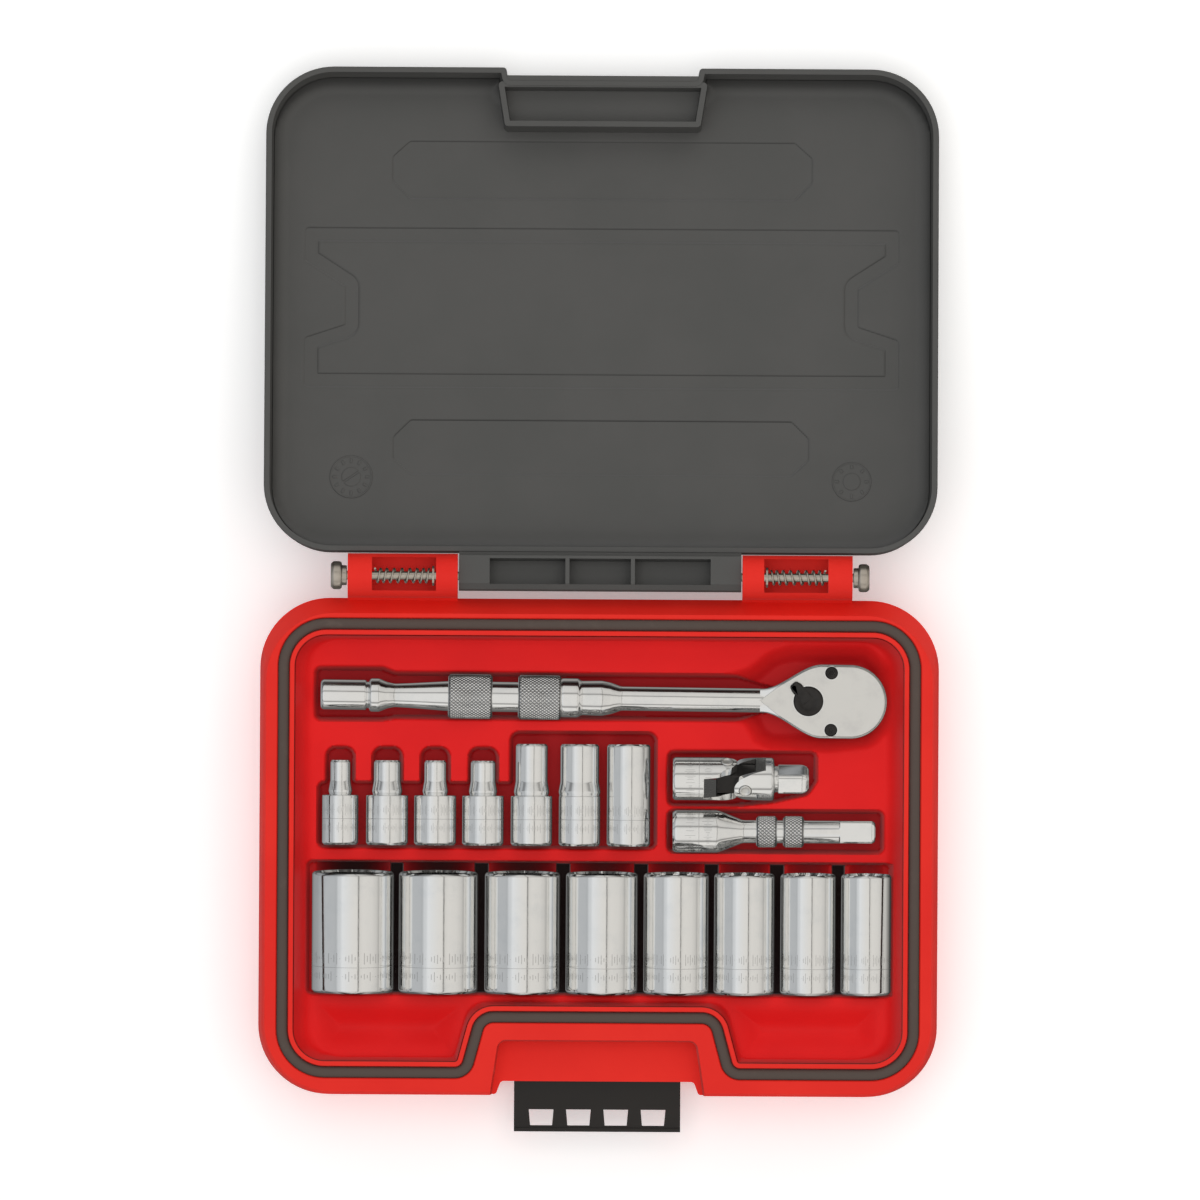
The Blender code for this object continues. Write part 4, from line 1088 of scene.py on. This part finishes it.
def latch_piece():
    """The latch drawn shut: y through the plate and z up it, then swung out level."""
    flat = [(-2.4, -2.4), (-6.8, -2.4), (-6.8, 24.8), (-2.3, 24.8), (-2.3, 23.3), (-4.3, 23.3)]
    flat += [(-4.3, 1.6), (0.6, 2.6), (2.6, 0.6), (2.6, -1.4), (1.4, -2.4)]
    flat = np.array(flat)
    ends = [np.column_stack([np.full(len(flat), x), flat]) for x in (-LATCH_HALF_W, LATCH_HALF_W)]
    made = loft("latch_plate", ends)
    steps = []
    for number in range(4):
        x = (number - 1.5) * 15.7
        hole = np.array([(x - 4.6, 22.2), (x - 5.2, 15.5), (x + 5.2, 15.5), (x + 4.6, 22.2)])
        rings = [np.column_stack([hole[:, 0], np.full(4, y), hole[:, 1]]) for y in (-9.0, -1.0)]
        steps.append(("DIFFERENCE", loft("window", rings)))
    steps.append(("DIFFERENCE", rod(1.8, -36.0, 36.0, (0, 0, 0))))
    return soften(carve(made, *steps), 0.4)


def swung(points):
    """A quarter turn about the latch's rod: y becomes -z and z becomes y."""
    return np.stack([points[:, 0], LATCH_Y - points[:, 2], LATCH_Z + points[:, 1]], axis=-1)


finished(place(latch_piece(), swung), BLACK, "latch", ["latch"])

# %% [markdown]
# ## Hinge pins and springs
#
# Each hinge turns on a steel pin with a mushroom head, pushed inwards by a coil spring. The pin
# is a turned profile. The spring is a round wire led along a helix, which a curve could do as
# well; as a grid of two angles its pitch and its end coils are set by one formula.


# %% Pins
def pin(side, sign):
    """A turned pin: point, long stem, shoulder and rounded head."""
    profile = [(0.05, 49.0), (1.2, 49.0), (1.75, 49.7), (1.75, 106.4), (4.2, 106.4)]
    profile += [(4.2, 108.5), (5.3, 108.5), (5.9, 109.3), (5.9, 112.0), (4.9, 113.1), (0.05, 113.1)]
    rings = facing_x(spun(eased(profile, 0.45, 5), 56))
    rings = rings * np.array([sign, 1, 1]) + np.array([0, HINGE_Y, HINGE_Z])
    made = smooth(loft("pin_" + side, rings))
    return finished(made, STEEL, side + "_pin", ["hinge_pin_" + side])


def spring(side, sign, low=71.4, high=95.0, turns=8, wire=0.42, coil=2.9):
    """A tube along a helix: the coil's angle t runs 2 pi per turn, x rises with t."""
    t = np.linspace(0, 1, turns * 30)[:, None]
    b = np.arange(10)[None, :] * math.tau / 10
    angle = t * turns * math.tau
    along = low + wire + (high - low - 2 * wire) * (t - 0.028 * np.sin(math.tau * t))
    r = coil + wire * np.cos(b)
    x = sign * (along + wire * np.sin(b))
    rings = np.stack([x, r * np.cos(angle) + HINGE_Y, r * np.sin(angle) + HINGE_Z], axis=-1)
    made = smooth(loft("spring_" + side, rings), 60)
    return finished(made, STEEL, "case", ["hinge_spring_" + side])


for side, sign in (("left", -1), ("right", 1)):
    pin(side, sign)
    spring(side, sign)

# %% [markdown]
# ## Sockets
#
# A socket is round outside, square at the end that takes the drive and twelve-pointed at the
# end that takes the nut. All of it is one closed skin: the radius is a function of the angle
# and of the place along the profile, which goes up the outside, over the lip, down the
# twelve-point opening and out through the square.

# %% Sections of a socket
TURN = np.arange(96) * math.tau / 96
DRIVE = 4.9


def round_row(radius, z):
    """A circle."""
    return polar(np.full(len(TURN), float(radius)), z)


def square_row(half, z, cap=1.3):
    """A square with corners cut by a circle: half / max(|cos|, |sin|), at most cap half."""
    reach = half / np.maximum(abs(np.cos(TURN)), abs(np.sin(TURN)))
    return polar(np.minimum(reach, half * cap), z)


def star_row(half, z):
    """Two hexagons a twelfth of a turn apart: each is half / cos of the angle to its flat."""
    sixth = math.pi / 3
    one = half / np.cos((TURN + sixth / 2) % sixth - sixth / 2)
    two = half / np.cos(TURN % sixth - sixth / 2)
    return polar(np.minimum(np.maximum(one, two), half * 1.14), z)


def polar(radius, z):
    """A row of points at the common angles."""
    x, y = radius * np.cos(TURN), radius * np.sin(TURN)
    return np.column_stack([x, y, np.full(len(TURN), float(z))])


def socket_rows(radius, neck, length, step):
    """Rows of one socket standing on its drive end."""
    depth = min(length * 0.55, length - 13.0)
    grip = neck * 0.78
    bore = min(grip * 0.88, 4.4)
    if neck < radius - 0.3:
        outside = [(radius - 0.9, 0.0), (radius, 0.9), (radius, step - 0.1)]
        outside += [(neck + 0.3, step), (neck + 0.75, step + 1.7), (neck, step + 6.0)]
    else:
        outside = [(radius - 0.9, 0.0), (radius, 0.9), (radius, step + 1.0), (radius, step + 1.2)]
    outside += [(neck, length - 0.8), (neck - 0.7, length)]
    rows = [round_row(r, z) for r, z in eased(outside, 0.4, 5)]
    rows += [round_row(grip * 1.16, length - 0.05), star_row(grip, length - 0.9)]
    rows += [star_row(grip, length - 1.4), star_row(grip, length - depth)]
    rows += [round_row(bore, length - depth - 0.6), round_row(bore, 9.8)]
    rows += [square_row(DRIVE, 9.8), square_row(DRIVE, 0.4), square_row(DRIVE + 0.25, 0.0)]
    return np.array(rows)


def lying(points, centre, tilt):
    """A standing piece laid along Y: its axis leans up by the tilt.

    y = z cos t - y sin t and z = z sin t - y cos t with the old y and z, about the centre.
    """
    c, s = math.cos(math.radians(tilt)), math.sin(math.radians(tilt))
    x, y, z = points[..., 0], points[..., 1], points[..., 2]
    return np.stack([x, z * c + y * s, z * s - y * c], axis=-1) + np.asarray(centre, float)


# %% Fifteen sockets
SHORT = [(-108.7, 7.6, 4.2, 35.6), (-89.0, 8.8, 5.6, 35.6), (-68.8, 8.8, 4.6, 35.6)]
SHORT += [(-48.7, 8.7, 5.2, 35.6), (-28.3, 8.7, 6.7, 42.8), (-8.1, 8.7, 8.1, 42.8)]
SHORT += [(12.5, 9.1, 9.1, 42.8)]

SHORT_Y, SHORT_STEP, DEEP_STEP = 0.5, 21.0, 3.0


def socket(name, rows, at, tilt):
    """One socket laid in its pocket, its marks stored with its points."""
    made = smooth(loft("chrome_" + name, lying(rows, at, tilt), closed=True), 24)
    keep(made, "turned", turned(rows))
    return finished(made, CHROME_ALONG_Y, name, [name])


for number, (x, radius, neck, length) in enumerate(SHORT, 1):
    at = (x, SHORT_Y, SHORT_FLOOR + radius + 0.3)
    socket(f"short_socket_{number}", socket_rows(radius, neck, length, SHORT_STEP), at, 0.0)

for number, (x, radius) in enumerate(DEEP, 1):
    rows = socket_rows(radius, radius, DEEP_LENGTH, DEEP_STEP)
    socket(f"deep_socket_{number}", rows, (x, DEEP_Y, DEEP_Z), DEEP_TILT)

# %% [markdown]
# ## Ratchet
#
# The handle is one turning: end cylinder, collar, a long waist, a knurled grip in two bands, a
# ring, and a slim shaft into the head. The head is a pear-shaped forging closed by a satin
# plate with two black screws and the selector. A knurl is two sets of V grooves rolled into
# the steel at opposite slants, so its height is the smaller of two triangle waves.

# %% Ratchet frame
TOOL_Z = 34.0
RATCHET_TURN = math.radians(-0.49)


def in_ratchet(points):
    """Points about the head's drive axis, turned a little and put in place."""
    p = np.asarray(points, float)
    c, s = math.cos(RATCHET_TURN), math.sin(RATCHET_TURN)
    x = HEAD_AT[0] + c * p[..., 0] - s * p[..., 1]
    y = HEAD_AT[1] + s * p[..., 0] + c * p[..., 1]
    return np.stack([x, y, TOOL_Z + p[..., 2]], axis=-1)


# %% Knurl
def knurled(name, radius, low, high, teeth, slant, depth=0.42):
    """A sleeve along X: height = depth min(1, 1.5 min(tri(na + x/p), tri(na - x/p)))."""
    count = teeth * 6
    a = np.arange(count)[None, :] * math.tau / count
    rows = int((high - low - 1.0) / slant * 6)
    x = np.linspace(low + 0.5, high - 0.5, rows)[:, None]

    def wave(phase):
        return 1 - abs(2 * (phase % 1) - 1)

    one = wave(a * teeth / math.tau + x / slant)
    two = wave(a * teeth / math.tau - x / slant)
    fade = ease((x - low - 0.5) / 0.5) * ease((high - 0.5 - x) / 0.5)
    crest = np.minimum(1, 1.5 * np.minimum(one, two)) * fade
    r = radius - depth + depth * crest
    body = np.stack([x + 0 * a, r * np.cos(a), r * np.sin(a)], axis=-1)
    ends = [(0.1, low), (radius - depth - 0.6, low)], [(radius - depth - 0.6, high), (0.1, high)]
    first, last = (facing_x(spun(pair, count)) for pair in ends)
    made = smooth(loft(name, np.concatenate([first, body, last])), 40)
    # The crest height is kept with the points, for the painted shade in the grooves.
    rim = np.ones(2 * count)
    return keep(made, "crest", np.concatenate([rim, crest.ravel(), rim]))


# %% Handle
HANDLE = [(0.05, -117.2), (5.4, -117.2), (6.3, -116.3), (6.3, -98.2), (5.5, -97.8), (5.5, -96.9)]
HANDLE += [(7.0, -96.3), (7.0, -92.6), (5.5, -89.0), (4.9, -86.0), (5.2, -80.0), (6.2, -65.0)]
HANDLE += [(6.3, -62.0), (6.3, -16.6), (8.0, -16.0), (8.2, -15.4), (8.2, -9.0), (7.6, -8.2)]
HANDLE += [(7.2, -7.4), (7.4, 1.0), (6.6, 5.0), (5.05, 9.2), (5.05, 80.0), (0.05, 80.0)]

profile = [(r, x - HEAD_AT[0]) for r, x in HANDLE]
handle = loft("ratchet_handle", in_ratchet(facing_x(spun(eased(profile, 0.7, 6), 96))))
finished(smooth(handle, 40), CHROME_ALONG_X, "ratchet", ["ratchet_body"])
for number, (low, high) in enumerate(((-63.6, -45.0), (-34.2, -16.1)), 1):
    sleeve = knurled(f"ratchet_grip_{number}", 9.3, low - HEAD_AT[0], high - HEAD_AT[0], 38, 1.7)
    finished(place(sleeve, in_ratchet), KNURL, "ratchet")


# %% Head and plate
def head_outline(grow=0.0, tip=False):
    """The head from above: from the neck it widens along 3 t^2 - 2 t^3 to a round nose.

    tip draws the left end in to a point, which is how the cover plate starts.
    """
    x = np.linspace(-37.0, -6.0, 40)
    half = 4.9 + 10.6 * ease((x + 36.5) / 25.5) + grow
    if tip:
        half = np.minimum(half, 0.3 + 0.78 * (x + 37.0) + grow * 0.3)
    half = np.maximum(half, 0.12)
    a = np.radians(np.linspace(-86, 86, 61))
    nose = np.stack([np.cos(a), np.sin(a)], axis=1) * (15.5 + grow) + np.array([0.8, 0.0])
    return np.vstack([np.stack([x, -half], 1), nose, np.stack([x, half], 1)[::-1]])


def stacked(name, profile, reach, tip=False):
    """The head's outline carried through a profile of offset and height."""
    return loft(name, [level(head_outline(g, tip), z) for g, z in eased(profile, reach, 5)])


def slimmed(points):
    """Draws the head's height in towards the neck, so that it grows out of the shaft."""
    share = 0.70 + 0.30 * ease((points[:, 0] + 40.0) / 15.0)
    return points * np.stack([np.ones(len(points)), np.ones(len(points)), share], axis=-1)


HEAD = [(-3.4, -7.2), (-1.6, -7.2), (0.0, -5.6), (0.0, 5.6), (-0.6, 6.2), (-3.0, 6.2)]
head = place(smooth(stacked("ratchet_head", HEAD, 0.9), 40), slimmed)
finished(place(head, in_ratchet), CHROME_ALONG_X, "ratchet")
PLATE = [(-0.5, 6.5), (-0.5, 7.1), (-0.9, 7.7), (-2.0, 7.7)]
plate = stacked("head_plate", PLATE, 0.3, tip=True)
LEVER_X, LEVER_ANGLE = -16.7, 132
SCREW_X, SCREW_Y = -7.1, 12.0
holes = [("DIFFERENCE", rod(6.7, 6.0, 9.0, (LEVER_X, 0, 0), "Z"))]
holes += [("DIFFERENCE", rod(3.0, 6.0, 9.0, (SCREW_X, y, 0), "Z")) for y in (SCREW_Y, -SCREW_Y)]
carve(plate, *holes)
finished(place(smooth(plate, 30), in_ratchet), SATIN, "ratchet", ["cover_plate"])


# %% Screws and selector
def screw(number, y):
    """A black button screw with a six-lobed recess."""
    outside = [(0.1, 3.0), (1.5, 3.0), (1.5, 6.5), (2.7, 6.5), (2.7, 7.3), (2.2, 7.7), (1.5, 7.75)]
    rows = [round_row(r, z) for r, z in eased(outside, 0.25)]
    lobes = 1.15 + 0.16 * np.cos(6 * TURN)
    rows += [polar(lobes, 7.75), polar(lobes * 0.95, 6.9), polar(lobes * 0.1, 6.8)]
    points = np.array(rows) + np.array([SCREW_X, y, 0])
    made = smooth(loft(f"plate_screw_{number}", in_ratchet(points)))
    return finished(made, OXIDE, "ratchet", [f"cover_screw_{number}"])


def selector():
    """A dished disc with a thumb tab that swells towards its end."""
    side = [(0.1, 6.6), (6.3, 6.6), (6.3, 9.0), (5.7, 9.6), (4.2, 9.6), (3.0, 9.3), (0.1, 9.3)]
    disc = loft("selector", spun(eased(side, 0.3, 4), 72))
    tab = [(0.0, -2.7), (7.6, -2.5), (9.9, -1.7), (9.9, 1.7), (7.6, 2.5), (0.0, 2.7)]
    radii = [0.5, 2, 1.2, 1.2, 2, 0.5]
    steps = ((0, 8.0), (0, 9.5), (-0.6, 10.1))
    thumb = loft("thumb", [level(outline(tab, radii, g, 8), z) for g, z in steps])
    made = soften(carve(disc, ("UNION", thumb)), 0.25)

    def turn(points):
        a = math.radians(LEVER_ANGLE)
        c, s = math.cos(a), math.sin(a)
        x = LEVER_X + c * points[:, 0] - s * points[:, 1]
        return in_ratchet(np.stack([x, s * points[:, 0] + c * points[:, 1], points[:, 2]], -1))

    return finished(place(made, turn), OXIDE, "selector", ["selector_lever"])


screw(1, SCREW_Y)
screw(2, -SCREW_Y)
selector()

# %% [markdown]
# ## Universal joint and extension
#
# The joint is two forked ends on a cross block. Each fork is turned, then slotted and faced
# with flat cutters, as on a milling machine. The extension is turned too, with a square socket
# at one end, a square tang at the other and two knurled bands.


# %% Universal joint
JOINT_AT, JOINT_ROLL = (61.5, 29.1), math.radians(34.5)


def in_joint(points):
    """Points along the joint's axis, rolled about it and put in place."""
    p = np.asarray(points, float)
    c, s = math.cos(JOINT_ROLL), math.sin(JOINT_ROLL)
    y = JOINT_AT[1] + c * p[..., 1] - s * p[..., 2]
    return np.stack([JOINT_AT[0] + p[..., 0], y, TOOL_Z + s * p[..., 1] + c * p[..., 2]], axis=-1)


def facing(rings, upright):
    """Rings drawn along Z, left upright or laid over so that they point along Y."""
    return rings if upright else rings[..., [0, 2, 1]]


JOINT_R, JOINT_FACE_X = 9.0, -30.4
SOCKET_PIN_X, TANG_PIN_X = -7.7, 0.0
# Along the joint and half width of the two arms' edges, from the root to the tip.
SOCKET_ARM = [(-17.6, 7.2), (-11.0, 6.2), (-8.6, 4.6), (-6.4, 4.0), (-4.7, 2.6), (-3.7, 1.2), (-2, 1.2)]
TANG_ARM = [(8.6, 7.7), (3.7, 6.9), (-0.8, 5.4), (-2.6, 4.4), (-4.0, 2.9), (-4.7, 1.2), (-6.5, 1.2)]


def beside_arms(edge, upright):
    """Cutters on both sides of a yoke's arms, which leave tongues with rounded tips."""
    flat = eased(edge, 1.2, 5)
    root, far = flat[0, 0], flat[-1, 0]
    flat = np.vstack([flat, [(far, 12.0), (root, 12.0)]])
    steps = []
    for sign in (-1, 1):
        side = flat * np.array([1, sign])
        rings = facing(np.array([level(side, z) for z in (-12.0, 12.0)]), upright)
        steps.append(("DIFFERENCE", loft("arm_cutter", rings)))
    return steps


def pin_bore(x, upright):
    """A cutter for the hole of a cross pin."""
    rings = facing(spun([(2.75, -12.0), (2.75, 12.0)], 40), upright)
    return "DIFFERENCE", loft("bore", rings + np.array([x, 0, 0]))


def socket_yoke():
    """The socket end: square hole, body and two arms with rounded tips."""
    ends = [(JOINT_R - 0.7, JOINT_FACE_X), (JOINT_R, -29.6), (JOINT_R, -8.4), (JOINT_R - 0.4, -3.7)]
    rows = [square_row(DRIVE, -18.6), square_row(DRIVE, -30.0)]
    rows += [square_row(DRIVE + 0.2, JOINT_FACE_X)]
    rows += [round_row(r, z) for r, z in eased(ends, 0.5)]
    rows += [round_row(1.0, -3.7), round_row(1.0, -18.6)]
    fork = loft("socket_yoke", facing_x(np.array(rows)), closed=True)
    slot = "DIFFERENCE", block("slot", (-17.4, -4.8, -12), (8, 4.8, 12))
    carve(fork, slot, *beside_arms(SOCKET_ARM, False), pin_bore(SOCKET_PIN_X, False))
    return soften(fork, 0.4)


def tang_yoke():
    """The tang end: two arms, collar, neck and a square tang with a rounded end."""
    body = [(0.1, -4.7), (JOINT_R - 0.4, -4.7), (JOINT_R, -0.6), (JOINT_R, 11.2)]
    body += [(JOINT_R - 0.6, 12.0), (5.6, 12.3), (5.4, 13.6)]
    rows = [round_row(r, z) for r, z in eased(body, 0.4)]
    tang = [(4.7, 14.0, 1.3), (4.7, 23.4, 1.3), (4.6, 24.8, 1.28), (4.3, 25.9, 1.22), (3.6, 26.7, 1.15)]
    rows += [square_row(*step) for step in tang]
    fork = loft("tang_yoke", facing_x(np.array(rows)))
    slot = "DIFFERENCE", block("slot", (-8, -12, -4.8), (8.6, 12, 4.8))
    carve(fork, slot, *beside_arms(TANG_ARM, True), pin_bore(TANG_PIN_X, True))
    return soften(fork, 0.4)


def joint_pin(end, x, upright):
    """A pin with both ends swaged over: a low ring round a dished middle."""
    half = [(0.05, 8.7), (1.3, 8.75), (1.9, 9.2), (2.4, 9.15), (2.6, 8.7)]
    profile = [(r, -z) for r, z in half] + half[::-1]
    rings = facing(spun(eased(profile, 0.3, 4), 40), upright)
    made = place(smooth(loft("joint_pin_" + end, rings + np.array([x, 0, 0]))), in_joint)
    return finished(made, SATIN, "ujoint_cross", ["ujoint_pin_" + end])


def joint_block():
    """The long block between the forks, drilled for both pins."""
    made = block("joint_block", (-12.2, -4.5, -4.5), (4.4, 4.5, 4.5))
    carve(made, pin_bore(SOCKET_PIN_X, False), pin_bore(TANG_PIN_X, True))
    return soften(made, 0.6)


def marked_from(made, face):
    """Stores the turned coordinates of a piece along X, counted from its socket's face."""
    x, y, z = points_of(made).T
    return keep(made, "turned", turned(np.stack([z, y, x - face], axis=-1)))


fork = place(marked_from(socket_yoke(), JOINT_FACE_X), in_joint)
finished(fork, CHROME_MARKED, "ujoint_socket", ["ujoint_socket_yoke"])
finished(place(tang_yoke(), in_joint), CHROME_ALONG_X, "ujoint_tang", ["ujoint_tang_yoke"])
finished(place(joint_block(), in_joint), OXIDE, "ujoint_cross", ["ujoint_block"])
joint_pin("socket", SOCKET_PIN_X, False)
joint_pin("tang", TANG_PIN_X, True)

# %% Extension
BAR_FACE_X = 31.1
BAR_PROFILE = [(8.1, BAR_FACE_X), (8.9, 32.2), (8.9, 50.0), (8.0, 52.5), (4.8, 60.6), (4.8, 101.0)]
EXTENSION_AT = (0.0, 7.0, TOOL_Z)


def extension():
    """Square hole, body, taper and shaft, then the square tang."""
    hole = [(DRIVE * 0.1, 42.0), (DRIVE, 42.0), (DRIVE, 31.5), (DRIVE + 0.2, BAR_FACE_X)]
    rows = [square_row(half, x) for half, x in hole]
    rows += [round_row(r, x) for r, x in eased(BAR_PROFILE, 1.0, 6)]
    tang = [(4.7, 101.5, 1.3), (4.7, 101.8, 1.3), (4.7, 114.4, 1.3), (4.7, 114.8, 1.3)]
    tang += [(4.3, 115.8, 1.2), (3.5, 116.3, 1.15)]
    rows += [square_row(*step) for step in tang]
    made = loft("extension_shaft", facing_x(np.array(rows)))
    return smooth(marked_from(made, BAR_FACE_X), 24)


def beside(points):
    """Points about the extension's own axis, put in place."""
    return np.asarray(points, float) + np.asarray(EXTENSION_AT)


finished(place(extension(), beside), CHROME_MARKED, "extension", ["extension_bar"])
for number, (low, high) in enumerate(((66.2, 75.0), (77.5, 86.3)), 1):
    sleeve = knurled(f"extension_grip_{number}", 6.6, low, high, 27, 1.7, 0.4)
    finished(place(sleeve, beside), KNURL, "extension")

# %% [markdown]
# ## Pieces that keep their shape
#
# Small pieces such as the latch's rod, the clips, the detent balls and the drive are already
# right, so they keep their solids and take a proper finish.

# %% Finishes of the kept pieces
KEPT = {
    STEEL: ["latch_pin", "pin_clip_left", "pin_clip_right"]
    + ["ratchet_ball", "ujoint_ball", "extension_ball"],
    CHROME_ALONG_X: ["ratchet_drive"],
}
for look, names in KEPT.items():
    for name in names:
        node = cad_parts[name]
        node.data.materials.clear()
        node.data.materials.append(look)
print(sum(len(names) for names in KEPT.values()), "kept pieces finished")

# %% A helper for box corners, and the count of pieces made
def corners(box):
    return [[float(c) for c in corner] for corner in box]


print(len(MADE), "pieces made")
